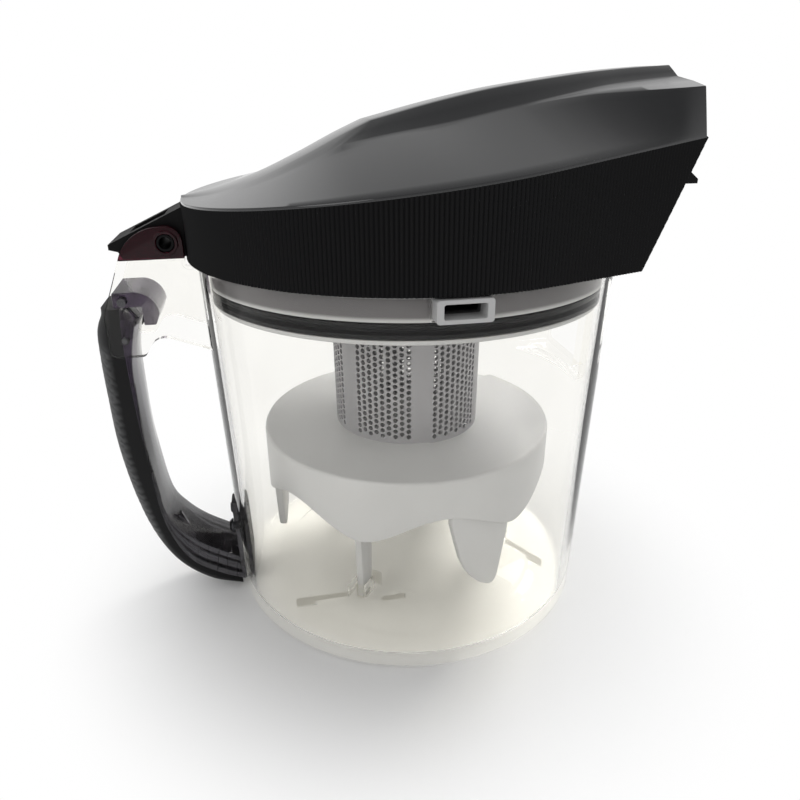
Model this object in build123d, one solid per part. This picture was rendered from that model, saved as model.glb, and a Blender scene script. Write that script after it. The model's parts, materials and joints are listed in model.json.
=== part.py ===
from build123d import *
import os
from math import atan2, cos, degrees, radians, sin, sqrt, tan

# Cyclone dust bin with a hinged filter lid. Millimetres, +Z up, origin at the centre of the cup's base.
# +X is the nose of the lid, the handle is at -X.

# Dust cup
base_radius = 75.0
rim_radius = 80.0
cup_height = 144.0
cup_wall = 2.4
floor_thickness = 3.0
floor_step_radius = 57.0
floor_step_height = 1.5
foot_boss_length = 14.0
foot_boss_width = 9.0
foot_boss_height = 7.0

# Dirty air inlet on the cup's front
inlet_face_x = rim_radius + 4.0
inlet_y_low = -10.0
inlet_y_high = 44.0
inlet_height = 45.0
inlet_z_high = cup_height - 17.0
inlet_z_low = inlet_z_high - inlet_height
inlet_wall = 5.0
inlet_root_x = rim_radius / 2

# Plan of the lid over the rim
lid_overhang = 3.5
lid_radius = rim_radius + lid_overhang

# Hinge cheeks of the cup
cheek_inner = 14.0
cheek_thickness = 3.0
hinge_x = -lid_radius - 5.3
hinge_z = cup_height + 8.7
ear_radius = 5.8
ear_tip_x = hinge_x - 16.6
ear_foot_z = hinge_z - 5.5
ear_bow_x = hinge_x - 12.0
ear_bow_z = hinge_z + 1.6
pad_radius = 2.8
pad_height = 0.5
pad_places = [(hinge_x - 2.9, hinge_z - 10.0), (hinge_x + 3.9, hinge_z - 13.8)]
cheek_low_z = cup_height - 32.0
cheek_outer_x = hinge_x - 24.2
cheek_clamp_length = 12.0
cheek_corner_z = cup_height - 16.0
cheek_shoulder_x = hinge_x - 20.2
cheek_shoulder_z = cup_height - 6.0
cheek_web_x = hinge_x - 7.2
cheek_web_z = cup_height - 24.0
cheek_gap = 1.0

# Hinge pin
pin_radius = 3.1
pin_bore = 2.0
running_gap = 0.06

# Cyclone insert
insert_band_wall = 2.4
insert_top_z = cup_height + 0.2
seal_top_z = cup_height - 7.8
seal_low_z = seal_top_z - 5.8
insert_low_z = seal_low_z - 1.6
insert_gap = 0.17
cup_draft = (rim_radius - base_radius) / cup_height
insert_radius = base_radius + cup_draft * insert_low_z - cup_wall - insert_gap
insert_foot_step = 1.0
seal_seat_radius = insert_radius - 3.7
seal_seat_wall = 2.0
seal_seat_drop = 1.5
band_step = 1.0
web_thickness = 2.0
neck_radius = 34.0
neck_wall = 2.5
neck_top_z = cup_height - 0.3
air_hole_radius = 27.0
socket_length = 17.5
socket_low_z = cup_height - 6.4
socket_high_z = cup_height + 0.9
socket_face_y = lid_radius + 0.5
socket_wall = 1.4
socket_mouth_length = 13.0
lip_height = 1.9
lip_inset = 0.1
lip_depth = 1.6
lip_chamfer = 0.5
lip_valley = 0.6

# Perforated shroud
shroud_radius = 30.2
shroud_top_radius = 30.8
shroud_wall = 1.8
shroud_low_z = insert_low_z - 56.8
panel_count = 6
panel_span = 45.0
hole_radius = 1.55
hole_columns = 4
hole_rows = 4
hole_margin = 7.0

# Dust skirt
skirt_radius = 61.2
skirt_wall = 2.0
skirt_edge_round = 1.0
skirt_low_z = shroud_low_z - 26.5
skirt_wave_height = 10.5
skirt_wave_span = 50.0
lobe_count = 6
lobe_angle = -118.0
leg_count = 3
leg_angle = -70.0
leg_top_width = 23.0
leg_tip_width = 9.0
leg_tip_z = skirt_low_z - 25.5
leg_inset = 0.5
leg_thickness = 3.0
fin_angle = -128.0
fin_radius = 40.5
fin_top_width = 12.0
fin_tip_width = 7.0
fin_thickness = 3.0
fit_gap = 0.3

# Handle
handle_half_width = 12.5
grip_edge_round = 2.8
frame_edge_depth = 1.1
frame_edge_width = 8.0
flange_thickness = 1.8
flange_low_z = 1.0
flange_high_z = 38.0
screw_shank = 1.5
screw_head = 3.0
screw_head_height = 1.6
flange_screw_z = 30.0
flange_screw_y = 7.5
cross_screw_x = hinge_x - 19.4
cross_screw_z = cup_height - 27.0

# Release trigger
trigger_half_width = 12.6
trigger_pin_x = hinge_x - 17.8
trigger_pin_z = cup_height - 11.8
trigger_pin_radius = 1.5
trigger_low_z = cup_height - 21.4
trigger_heel_z = cup_height - 14.4
trigger_step_x = hinge_x - 11.7
trigger_top_z = cup_height - 9.0
trigger_rear_x = hinge_x - 21.4
trigger_arc_x = hinge_x - 13.4
trigger_nose_x = hinge_x - 5.9
trigger_nose_z = cup_height - 17.4
trigger_toe_back = 1.6
trigger_bulge_x = 1.6
trigger_bulge_z = 1.3
pin_end_inset = 1.0
spring_width = 6.0
spring_thickness = 0.5
spring_gap = 0.25
spring_foot_inset = 1.5
spring_fold_inset = 1.2
spring_tip_inset = 0.6

# Lid
side_angle = 69.9
belt_low_z = cup_height + 1.5
belt_rear_z = belt_low_z + 19.5
belt_nose_z = belt_low_z + 40.0
belt_nose_x = lid_radius - 0.7
belt_wall = 3.0
rib_pitch = 1.4
rib_depth = 0.5
nose_centre_x = lid_radius
nose_corner_x = lid_radius - 18.1
nose_corner_y = lid_radius - 18.5
nose_spread = lid_radius + 16.5
nose_lean = 23.5
cover_lean = -10.0
deck_thickness = 2.5
cover_wall = 2.4
cover_lip = 0.8
cover_inset = 0.3
cover_spread = lid_radius + 8.5
cover_drop = 8.0
cover_shoulder = 6.0
cover_edge_gap = 2.0

# Lid tail between the hinge cheeks
tail_half_width = 13.0
tail_tip_x = hinge_x - 19.6
tail_tip_z = hinge_z - 0.5
tail_low_z = hinge_z - 5.5
tail_slot_length = 14.0
tail_slot_width = 15.0
tail_slot_depth = 1.4
tail_lip_length = 3.0
tail_lip_height = 1.8
tail_lip_drop = 2.6
tail_heel_length = 4.5

# Nose of the lid
outlet_half_width = 28.0
outlet_low_z = belt_low_z + 7.5
outlet_high_z = belt_low_z + 31.5
outlet_rim = 5.0
outlet_seal_height = 1.6
grille_thickness = 2.0
grille_set_back = 0.8
grille_bar = 2.6
grille_slots = 9
hook_y = 40.0
hook_width = 8.0
hook_low_z = belt_low_z + 25.0
hook_height = 5.5
hook_reach = 7.0
hook_tip_height = 1.5
hook_root = 1.0

# Filter in the lid
filter_centre_x = 8.0
filter_length = 100.0
filter_width = 70.0
filter_frame_wall = 3.0
filter_bar = 3.0
filter_ledge = 2.0
filter_frame_height = 17.0
filter_seal_height = 1.5
filter_seal_lip = 1.0
foam_height = 6.0
pleat_count = 20
pleat_thickness = 0.9
pleat_gap = 0.5
lid_seal_height = 1.0
throat_seal_height = 1.5
throat_seal_lip = 0.5
lid_screw_x = 42.0
lid_screw_y = 48.0
boss_radius = 4.0
boss_hole_depth = 9.0

# Values worked out from the sizes above
belt_slope = (belt_nose_z - belt_rear_z) / (belt_nose_x + lid_radius)
reach = rim_radius * 1.75
cheek_outer = cheek_inner + cheek_thickness
screw_end_gap = 0.4
cut_over = 1.0
high_z = cup_height + 10.0
spare = 20.0
lid_high_z = belt_nose_z + 2 * spare


def cup_outer(z):
    """Outer radius of the drafted cup at height z."""
    return base_radius + cup_draft * z


def belt_top(x):
    """Height of the belt's sloping top edge at x."""
    return belt_rear_z + belt_slope * (x + lid_radius)


def lid_half_width(x):
    """Half width of the lid's plan at x."""
    tangent_x = lid_radius * cos(radians(side_angle))
    if x < tangent_x:
        return sqrt(max(lid_radius ** 2 - x ** 2, 0.0))
    return lid_radius * sin(radians(side_angle)) - (x - tangent_x) / tan(radians(side_angle))


def side_prism(points, half_width):
    """Straight-edged XZ outline, extruded to both sides of the middle plane."""
    outline = Polyline([(x, 0, z) for x, z in points], close=True)
    return extrude(make_face(outline), amount=half_width, both=True)


def turned(points):
    """Solid of revolution about Z from (radius, height) points."""
    return revolve(make_face(Polyline([(r, 0, z) for r, z in points], close=True)), axis=Axis.Z)


def block(x, y, z):
    """Box from three (low, high) pairs."""
    low = (x[0], y[0], z[0])
    size = (x[1] - x[0], y[1] - y[0], z[1] - z[0])
    return Pos(*low) * Box(*size, align=(Align.MIN, Align.MIN, Align.MIN))


def rod_y(x, z, radius, low, high):
    """Cylinder along Y."""
    rod = Cylinder(radius, high - low, align=(Align.CENTER, Align.CENTER, Align.MIN))
    return Pos(x, low, z) * Rot(-90, 0, 0) * rod


def rod_z(x, y, radius, low, high):
    """Cylinder along Z."""
    return Pos(x, y, low) * Cylinder(radius, high - low, align=(Align.CENTER, Align.CENTER, Align.MIN))


def rod_x(y, z, radius, low, high):
    """Cylinder along X."""
    rod = Cylinder(radius, high - low, align=(Align.CENTER, Align.CENTER, Align.MIN))
    return Pos(low, y, z) * Rot(0, 90, 0) * rod


def cup_body(offset):
    """Full drafted body of the cup, grown outwards by an offset."""
    return turned([(0, 0), (base_radius + offset, 0), (rim_radius + offset, cup_height), (0, cup_height)])


# Dust cup


def cheek_plate():
    """One hinge cheek: the ear round the pin, the web to the cup and the clamp beside the handle."""
    wall_x = -sqrt(cup_outer(cheek_low_z) ** 2 - cheek_outer ** 2) + cup_wall / 2
    ear_side = hinge_x + ear_radius
    shoulder_z = belt_low_z - cheek_gap
    clamp_x = cheek_outer_x + cheek_clamp_length
    top_slope = atan2(hinge_z - ear_foot_z, hinge_x - ear_tip_x)
    tangent_x = hinge_x - ear_radius * sin(top_slope)
    tangent_z = hinge_z + ear_radius * cos(top_slope)
    edges = [
        ThreePointArc((ear_side, 0, hinge_z),
                      (hinge_x + ear_radius * 0.5, 0, hinge_z + ear_radius * sqrt(0.75)),
                      (tangent_x, 0, tangent_z)),
        ThreePointArc((tangent_x, 0, tangent_z), (ear_bow_x, 0, ear_bow_z), (ear_tip_x, 0, ear_foot_z)),
        Line((ear_tip_x, 0, ear_foot_z), (cheek_shoulder_x, 0, cheek_shoulder_z)),
        Line((cheek_shoulder_x, 0, cheek_shoulder_z), (cheek_outer_x, 0, cheek_corner_z)),
        Line((cheek_outer_x, 0, cheek_corner_z), (cheek_outer_x, 0, cheek_low_z)),
        Line((cheek_outer_x, 0, cheek_low_z), (clamp_x, 0, cheek_low_z)),
        Line((clamp_x, 0, cheek_low_z), (cheek_web_x, 0, cheek_web_z)),
        Line((cheek_web_x, 0, cheek_web_z), (wall_x, 0, cheek_low_z)),
        Line((wall_x, 0, cheek_low_z), (wall_x, 0, shoulder_z - cheek_gap)),
        Line((wall_x, 0, shoulder_z - cheek_gap), (ear_side, 0, shoulder_z)),
        Line((ear_side, 0, shoulder_z), (ear_side, 0, hinge_z)),
    ]
    plate = Pos(0, -cheek_inner, 0) * extrude(make_face(edges), amount=cheek_thickness, dir=(0, -1, 0))
    for x, z in pad_places:
        plate += rod_y(x, z, pad_radius, -cheek_outer - pad_height, -cheek_inner)
    return plate


def fin_places():
    return [fin_angle + 360.0 / leg_count * i for i in range(leg_count)]


def make_dust_cup():
    wall_draft = cup_draft * (cup_height - floor_thickness)
    inner_low = cup_outer(floor_thickness) - cup_wall
    hollow = turned([(0, floor_thickness), (inner_low, floor_thickness),
                     (inner_low + wall_draft, cup_height), (inner_low + wall_draft, high_z),
                     (0, high_z)])
    duct = block((inlet_root_x, inlet_face_x), (inlet_y_low, inlet_y_high), (inlet_z_low, inlet_z_high))
    cheek = cheek_plate()
    cup = cup_body(0) + duct + cheek + mirror(cheek, about=Plane.XZ)
    cup -= hollow
    cup -= block((inlet_root_x, inlet_face_x + cut_over),
                 (inlet_y_low + inlet_wall, inlet_y_high - inlet_wall),
                 (inlet_z_low + inlet_wall, inlet_z_high - inlet_wall))
    notch_half = socket_length / 2 + fit_gap
    cup -= block((-notch_half, notch_half), (-reach, reach), (socket_low_z - fit_gap, high_z))
    cup -= rod_y(hinge_x, hinge_z, pin_radius + running_gap, -reach, reach)
    cup -= rod_y(trigger_pin_x, trigger_pin_z, trigger_pin_radius, -cheek_outer + pin_end_inset,
                 cheek_outer - pin_end_inset)
    cup -= rod_y(cross_screw_x, cross_screw_z, screw_shank, -cheek_outer + pin_end_inset, reach)
    for side in (-1, 1):
        cup -= rod_x(side * flange_screw_y, flange_screw_z, screw_shank,
                     -cup_outer(flange_screw_z) - cut_over,
                     -cup_outer(flange_screw_z) + cup_wall - screw_end_gap)
    cup += rod_z(0, 0, floor_step_radius, floor_thickness / 2, floor_thickness + floor_step_height)
    for angle in fin_places():
        boss = block((fin_radius - foot_boss_length / 2, fin_radius + foot_boss_length / 2),
                     (-foot_boss_width / 2, foot_boss_width / 2),
                     (floor_thickness, floor_thickness + floor_step_height + foot_boss_height))
        slot_half = fin_tip_width / 2 + fit_gap * 2
        slot = block((fin_radius - slot_half, fin_radius + slot_half),
                     (-fin_thickness / 2 - fit_gap, fin_thickness / 2 + fit_gap),
                     (floor_thickness + floor_step_height, cup_height))
        cup += Rot(0, 0, angle) * boss
        cup -= Rot(0, 0, angle) * slot
    return cup


# Cyclone insert


def make_insert_ring():
    band_inner = insert_radius - insert_band_wall
    neck_inner = neck_radius - neck_wall
    web_top = insert_low_z + web_thickness
    foot_radius = insert_radius - insert_foot_step
    seat_inner = seal_seat_radius - seal_seat_wall
    ring = turned([
        (air_hole_radius, insert_low_z), (foot_radius, insert_low_z), (foot_radius, seal_low_z),
        (seal_seat_radius, seal_low_z), (seal_seat_radius, seal_top_z), (insert_radius, seal_top_z),
        (insert_radius, insert_top_z), (band_inner, insert_top_z),
        (band_inner, seal_top_z + band_step), (seat_inner, seal_top_z - seal_seat_drop),
        (seat_inner, web_top), (neck_radius, web_top), (neck_radius, neck_top_z),
        (neck_inner, neck_top_z), (neck_inner, web_top), (air_hole_radius, web_top)])
    mouth = socket_length / 2
    return ring - block((-mouth, mouth), (-reach, reach), (socket_low_z, high_z))


def make_side_sockets():
    """Two rectangular keeps set into the ring and standing out through the cup's rim."""
    outer = block((-socket_length / 2, socket_length / 2), (band_back(), socket_face_y),
                  (socket_low_z, socket_high_z))
    mouth = block((-socket_mouth_length / 2, socket_mouth_length / 2),
                  (band_back() - cut_over, socket_face_y + cut_over),
                  (socket_low_z + socket_wall, socket_high_z - socket_wall))
    socket = outer - mouth
    return Compound(children=[socket.solid(), mirror(socket, about=Plane.XZ).solid()])


def band_back():
    """Inner face of a side keep, level with the inside of the ring's band at its ends."""
    return sqrt((insert_radius - insert_band_wall) ** 2 - (socket_length / 2) ** 2)


def make_lip_seal():
    tip = insert_radius - lip_inset
    root = tip - lip_depth
    middle = (seal_low_z + seal_top_z) / 2
    return turned([
        (seal_seat_radius, seal_low_z), (root, seal_low_z), (tip, seal_low_z + lip_chamfer),
        (tip, seal_low_z + lip_height), (root, middle - lip_valley / 2), (root, middle + lip_valley / 2),
        (tip, seal_top_z - lip_height), (tip, seal_top_z - lip_chamfer), (root, seal_top_z),
        (seal_seat_radius, seal_top_z)])


def make_shroud():
    top = shroud_top_radius
    shroud = turned([(shroud_radius - shroud_wall, shroud_low_z), (shroud_radius, shroud_low_z),
                     (top, insert_low_z), (top - shroud_wall, insert_low_z)])
    column_step = panel_span / hole_columns
    row_step = (insert_low_z - shroud_low_z - 2 * hole_margin) / (hole_rows - 0.5)
    holes = []
    for panel in range(panel_count):
        start = -90.0 + 180.0 / panel_count + 360.0 / panel_count * panel - panel_span / 2 + column_step / 2
        for column in range(hole_columns):
            lift = row_step / 2 * (column % 2)
            for row in range(hole_rows):
                z = shroud_low_z + hole_margin + row_step * row + lift
                hole = rod_x(0, z, hole_radius, shroud_radius - shroud_wall - cut_over,
                             shroud_top_radius + cut_over)
                holes.append(Rot(0, 0, start + column_step * column) * hole)
    return shroud - holes


def tapered_plate(radius, angle, widths, heights, thickness):
    """Upright tapered plate facing outwards, with a rounded tip."""
    top, tip = widths
    low, high = heights
    round_z = low + tip / 2
    edges = [
        Line((radius, -tip / 2, round_z), (radius, -top / 2, high)),
        Line((radius, -top / 2, high), (radius, top / 2, high)),
        Line((radius, top / 2, high), (radius, tip / 2, round_z)),
        ThreePointArc((radius, tip / 2, round_z), (radius, 0, low), (radius, -tip / 2, round_z)),
    ]
    return Rot(0, 0, angle) * extrude(make_face(edges), amount=thickness, dir=(-1, 0, 0))


def make_dust_skirt():
    inner = skirt_radius - skirt_wall
    top = shroud_low_z
    skirt = turned([(0, top - skirt_wall), (inner, top - skirt_wall), (inner, skirt_low_z),
                    (skirt_radius, skirt_low_z), (skirt_radius, top - skirt_edge_round),
                    (skirt_radius - skirt_edge_round, top), (0, top)])
    half = skirt_wave_span / 2
    wave_radius = (half ** 2 + skirt_wave_height ** 2) / (2 * skirt_wave_height)
    for i in range(lobe_count):
        angle = lobe_angle + 360.0 / lobe_count * (i + 0.5)
        arch = rod_x(0, skirt_low_z + skirt_wave_height - wave_radius, wave_radius, inner / 2,
                      skirt_radius + cut_over)
        skirt -= Rot(0, 0, angle) * arch
    leg_face = inner - leg_inset
    for i in range(leg_count):
        spin = 360.0 / leg_count * i
        skirt += tapered_plate(leg_face, leg_angle + spin, (leg_top_width, leg_tip_width),
                               (leg_tip_z, top - skirt_wall / 2), leg_thickness)
    fin_low = floor_thickness + floor_step_height + fit_gap
    for angle in fin_places():
        fin = side_prism([(fin_radius - fin_tip_width / 2, fin_low),
                          (fin_radius + fin_tip_width / 2, fin_low),
                          (fin_radius + fin_top_width / 2, top - skirt_wall / 2),
                          (fin_radius - fin_top_width / 2, top - skirt_wall / 2)], fin_thickness / 2)
        skirt += Rot(0, 0, angle) * fin
    return skirt


# Handle

# Side lines of the handle from top to foot: distance behind the hinge, then height. The foot ends in the cup.
foot_x = -base_radius + 3.0


def handle_line(places, foot_z):
    return [(hinge_x - back, z) for back, z in places] + [(foot_x, foot_z)]


grip_line = handle_line([
    (26.7, cup_height - 15.0),
    (29.7, cup_height - 25.0),
    (30.2, cup_height - 44.0),
    (29.3, 70.0),
    (24.4, 41.0),
    (15.3, 19.6),
    (2.4, 6.8),
], 1.0)
split_line = handle_line([
    (19.6, cup_height - 15.0),
    (20.3, cup_height - 29.0),
    (19.8, cup_height - 54.0),
    (18.5, 67.7),
    (15.8, 38.0),
    (8.2, 19.4),
    (-3.2, 10.2),
], 4.0)
inner_line = handle_line([
    (14.8, cup_height - 22.5),
    (17.2, cup_height - 33.0),
    (18.1, cup_height - 44.0),
    (17.5, 77.0),
    (16.4, 58.0),
    (14.2, 42.5),
    (9.4, 34.4),
    (0.4, 25.8),
], 15.2)


def handle_slab(outer, inner):
    """Slab between two smooth side lines of the handle."""
    a = [(x, 0, z) for x, z in outer]
    b = [(x, 0, z) for x, z in inner]
    face = make_face([Spline(a), Line(a[-1], b[-1]), Spline(b), Line(b[0], a[0])])
    return extrude(face, amount=handle_half_width, both=True)


def make_handle_grip():
    grip = handle_slab(grip_line, split_line)
    outer_edges = grip.edges().sort_by(SortBy.LENGTH)[-2:]
    grip = fillet(outer_edges, grip_edge_round)
    grip -= cup_body(flange_thickness + fit_gap)
    return grip - rod_y(cross_screw_x, cross_screw_z, screw_shank, -reach, reach)


def make_handle_frame():
    frame = handle_slab(split_line, inner_line)
    inner_edges = frame.edges().filter_by(GeomType.BSPLINE).sort_by(SortBy.LENGTH)[:2]
    first, second = inner_edges
    inner_face = [face for face in frame.faces() if first in face.edges() and second in face.edges()][0]
    frame = chamfer(inner_edges, frame_edge_width, frame_edge_depth, reference=inner_face)
    frame -= cup_body(flange_thickness / 2)
    flange = block((-reach, 0), (-handle_half_width, handle_half_width), (flange_low_z, flange_high_z))
    frame += flange & cup_body(flange_thickness)
    frame -= cup_body(0)
    for side in (-1, 1):
        frame -= rod_x(side * flange_screw_y, flange_screw_z, screw_shank, -reach, 0)
    return frame - rod_y(cross_screw_x, cross_screw_z, screw_shank, -reach, reach)


def make_handle_screws():
    screws = []
    cup_x = -cup_outer(flange_screw_z)
    face_x = cup_x - flange_thickness
    for side in (-1, 1):
        y = side * flange_screw_y
        shank = rod_x(y, flange_screw_z, screw_shank, face_x, cup_x + cup_wall - 2 * screw_end_gap)
        head = rod_x(y, flange_screw_z, screw_head, face_x - screw_head_height, face_x)
        screws.append((shank + head).solid())
    shank = rod_y(cross_screw_x, cross_screw_z, screw_shank, -cheek_outer + 2 * screw_end_gap + pin_end_inset,
                   cheek_outer)
    head = rod_y(cross_screw_x, cross_screw_z, screw_head, cheek_outer, cheek_outer + screw_head_height)
    screws.append((shank + head).solid())
    return Compound(children=screws)


# Release trigger


def make_release_trigger():
    heel_z = trigger_heel_z
    toe_x = trigger_nose_x - trigger_toe_back
    arc_mid = ((trigger_arc_x + trigger_nose_x) / 2 + trigger_bulge_x, 0,
               (trigger_top_z + trigger_nose_z) / 2 + trigger_bulge_z)
    edges = [
        Line((trigger_rear_x, 0, heel_z), (trigger_rear_x, 0, trigger_top_z)),
        Line((trigger_rear_x, 0, trigger_top_z), (trigger_arc_x, 0, trigger_top_z)),
        ThreePointArc((trigger_arc_x, 0, trigger_top_z), arc_mid, (trigger_nose_x, 0, trigger_nose_z)),
        Line((trigger_nose_x, 0, trigger_nose_z), (toe_x, 0, trigger_low_z)),
        Line((toe_x, 0, trigger_low_z), (trigger_step_x, 0, trigger_low_z)),
        Line((trigger_step_x, 0, trigger_low_z), (trigger_step_x, 0, heel_z)),
        Line((trigger_step_x, 0, heel_z), (trigger_rear_x, 0, heel_z)),
    ]
    trigger = extrude(make_face(edges), amount=trigger_half_width, both=True)
    return trigger - rod_y(trigger_pin_x, trigger_pin_z, trigger_pin_radius + running_gap, -reach, reach)


def make_trigger_pin():
    end = cheek_outer - pin_end_inset
    return rod_y(trigger_pin_x, trigger_pin_z, trigger_pin_radius, -end, end)


def make_trigger_spring():
    """Bent strip between the sloping top of the handle frame and the underside of the trigger."""
    foot = split_line[0]
    toe = inner_line[0]
    slope = Vector(toe[0] - foot[0], toe[1] - foot[1], 0).normalized()
    out = Vector(-slope.Y, slope.X, 0)
    low = Vector(toe[0], toe[1], 0) - slope * spring_foot_inset + out * spring_gap
    high = Vector(foot[0], foot[1], 0) + slope * spring_fold_inset + out * spring_gap
    tip = Vector(trigger_step_x - spring_tip_inset, trigger_heel_z - spring_gap, 0)
    skin = out * spring_thickness
    fold = high + slope * (2 * spring_thickness) + skin
    strip = [low, high, tip, tip - Vector(0, spring_thickness, 0), fold, low + skin]
    return side_prism([(v.X, v.Y) for v in strip], spring_width / 2)


# Lid


def plan_face(offset, z):
    """Lid plan: a round rear and two straight sides that narrow towards the nose."""
    r = lid_radius - offset
    a = radians(side_angle)
    tx = r * cos(a)
    ty = r * sin(a)
    far_y = ty - (reach - tx) / tan(a)
    return make_face([
        ThreePointArc((tx, ty, z), (-r, 0, z), (tx, -ty, z)),
        Line((tx, -ty, z), (reach, -far_y, z)),
        Line((reach, -far_y, z), (reach, far_y, z)),
        Line((reach, far_y, z), (tx, ty, z)),
    ])


def plan_prism(offset, low, high):
    return extrude(plan_face(offset, low), amount=high - low, dir=(0, 0, 1))


def ribbed_prism(low, high):
    """Lid plan with fine upright ribs all along its round rear and straight sides."""
    a = radians(side_angle)
    tx = lid_radius * cos(a)
    ty = lid_radius * sin(a)
    straight = (reach - tx) / sin(a)
    arc = lid_radius * (radians(360.0) - 2 * a)
    total = 2 * straight + arc
    steps = 2 * round(total / rib_pitch)
    points = []
    for i in range(steps + 1):
        s = total * i / steps
        if s < straight:
            turn = a
            along = straight - s
        elif s < straight + arc:
            turn = a + (s - straight) / lid_radius
            along = 0.0
        else:
            turn = -a
            along = straight + arc - s
        radius = lid_radius - rib_depth * (i % 2)
        points.append((radius * cos(turn) + along * sin(turn), radius * sin(turn) - along * cos(turn), low))
    return extrude(make_face(Polyline(points, close=True)), amount=high - low, dir=(0, 0, 1))


def nose_radius():
    rise = nose_centre_x - nose_corner_x
    return (nose_corner_y ** 2 + rise ** 2) / (2 * rise)


def nose_x(y, z):
    """Face of the leaning nose at a width and a height."""
    r = nose_radius()
    return nose_centre_x - r + sqrt(r ** 2 - y ** 2) + (z - belt_low_z) * tan(radians(nose_lean))


def nose_prism(shift, lean, low, high):
    """All that lies behind the curved nose, which leans with height from the z of low."""
    wide = nose_spread
    side_x = nose_x(wide, belt_low_z) + shift
    face = make_face([
        ThreePointArc((side_x, -wide, low), (nose_centre_x + shift, 0, low), (side_x, wide, low)),
        Line((side_x, wide, low), (-reach, wide, low)),
        Line((-reach, wide, low), (-reach, -wide, low)),
        Line((-reach, -wide, low), (side_x, -wide, low)),
    ])
    tilt = radians(lean)
    return extrude(face, amount=(high - low) / cos(tilt), dir=(sin(tilt), 0, cos(tilt)))


def belt_nose(shift):
    return nose_prism(shift, nose_lean, belt_low_z, lid_high_z - spare)


def cover_nose(shift):
    start = (belt_nose_z - belt_low_z) * tan(radians(nose_lean))
    back = spare * tan(radians(cover_lean))
    return nose_prism(start - back + shift, cover_lean, belt_nose_z - spare, lid_high_z)


def under_belt_top():
    return side_prism([(-reach, belt_low_z - spare), (reach, belt_low_z - spare), (reach, belt_top(reach)),
                       (-reach, belt_top(-reach))], reach)


def outlet_window(grow):
    return block((nose_corner_x - spare, reach), (-outlet_half_width - grow, outlet_half_width + grow),
                 (outlet_low_z - grow, outlet_high_z + grow))


def lid_screw_places():
    return [(x, y) for x in (-lid_screw_x, lid_screw_x) for y in (-lid_screw_y, lid_screw_y)]


def make_lid_tail():
    """Tail that swings between the cheeks, with a pocket in its sloping top."""
    root_x = -lid_radius + belt_wall / 2
    root_z = belt_top(root_x) - cover_lip
    tail = side_prism([(root_x, tail_low_z), (tail_tip_x + tail_heel_length, tail_low_z),
                       (tail_tip_x + tail_lip_length, tail_tip_z - tail_lip_drop),
                       (tail_tip_x, tail_tip_z - tail_lip_height), (tail_tip_x, tail_tip_z),
                       (root_x, root_z)],
                      tail_half_width)
    fall = degrees(atan2(root_z - tail_tip_z, root_x - tail_tip_x))
    pocket = Box(tail_slot_length, tail_slot_width, 2 * tail_slot_depth)
    middle = ((root_x + tail_tip_x) / 2, 0, (root_z + tail_tip_z) / 2)
    return tail - Pos(*middle) * Rot(0, -fall, 0) * pocket


def make_lid_body():
    wall_shift = belt_wall / cos(radians(nose_lean))
    deck_top = belt_low_z + deck_thickness
    body = ribbed_prism(belt_low_z, lid_high_z - spare) & belt_nose(0) & under_belt_top()
    body -= plan_prism(belt_wall, deck_top, lid_high_z) & belt_nose(-wall_shift)
    body += make_lid_tail()
    body -= rod_z(0, 0, air_hole_radius, belt_low_z - cut_over, deck_top + cut_over)
    body -= outlet_window(0)
    for x, y in lid_screw_places():
        body -= rod_z(x, y, screw_shank, belt_low_z - cut_over, deck_top + cut_over)
    for side in (-1, 1):
        low_x = nose_x(hook_y, hook_low_z)
        hook_high = hook_low_z + hook_height
        hook = side_prism([(low_x - hook_root, hook_low_z), (low_x + hook_reach, hook_low_z),
                           (low_x + hook_reach, hook_low_z + hook_tip_height),
                           (nose_x(hook_y, hook_high) - hook_root / 2, hook_high)],
                          hook_width / 2)
        body += Pos(0, side * hook_y, 0) * hook
    return body - rod_y(hinge_x, hinge_z, pin_radius, -reach, reach)


def make_hinge_pin():
    end = cheek_outer
    return rod_y(hinge_x, hinge_z, pin_radius, -end, end) - rod_y(hinge_x, hinge_z, pin_bore, -reach, reach)


# Sections of the glossy cover from rear to nose: x, then y and height over the belt's low edge of the crease,
# the hood's foot and the ridge. They are drawn for a lid of section_radius and widen with it.
section_radius = 83.5
# Where no crease is given, the flank runs straight from the belt to the hood's foot.
cover_sections = [
    (-92.0, None, (24.0, 19.5), (14.0, 19.6)),
    (-74.0, None, (24.0, 21.9), (14.0, 22.1)),
    (-58.0, None, (24.0, 25.9), (14.0, 26.7)),
    (-40.0, None, (24.0, 32.7), (14.0, 34.4)),
    (-25.0, None, (24.0, 39.7), (14.0, 41.5)),
    (-13.0, None, (24.0, 41.3), (14.0, 46.7)),
    (10.0, None, (24.0, 45.3), (14.0, 52.2)),
    (30.0, None, (24.0, 49.5), (14.0, 56.3)),
    (52.0, (30.0, 53.4), (24.0, 53.9), (14.0, 59.6)),
    (66.0, (42.5, 54.4), (24.0, 56.6), (14.5, 61.4)),
    (80.0, (57.6, 55.3), (23.0, 58.3), (15.0, 62.7)),
    (106.0, (66.0, 56.9), (21.0, 60.7), (14.0, 64.4)),
]


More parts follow.
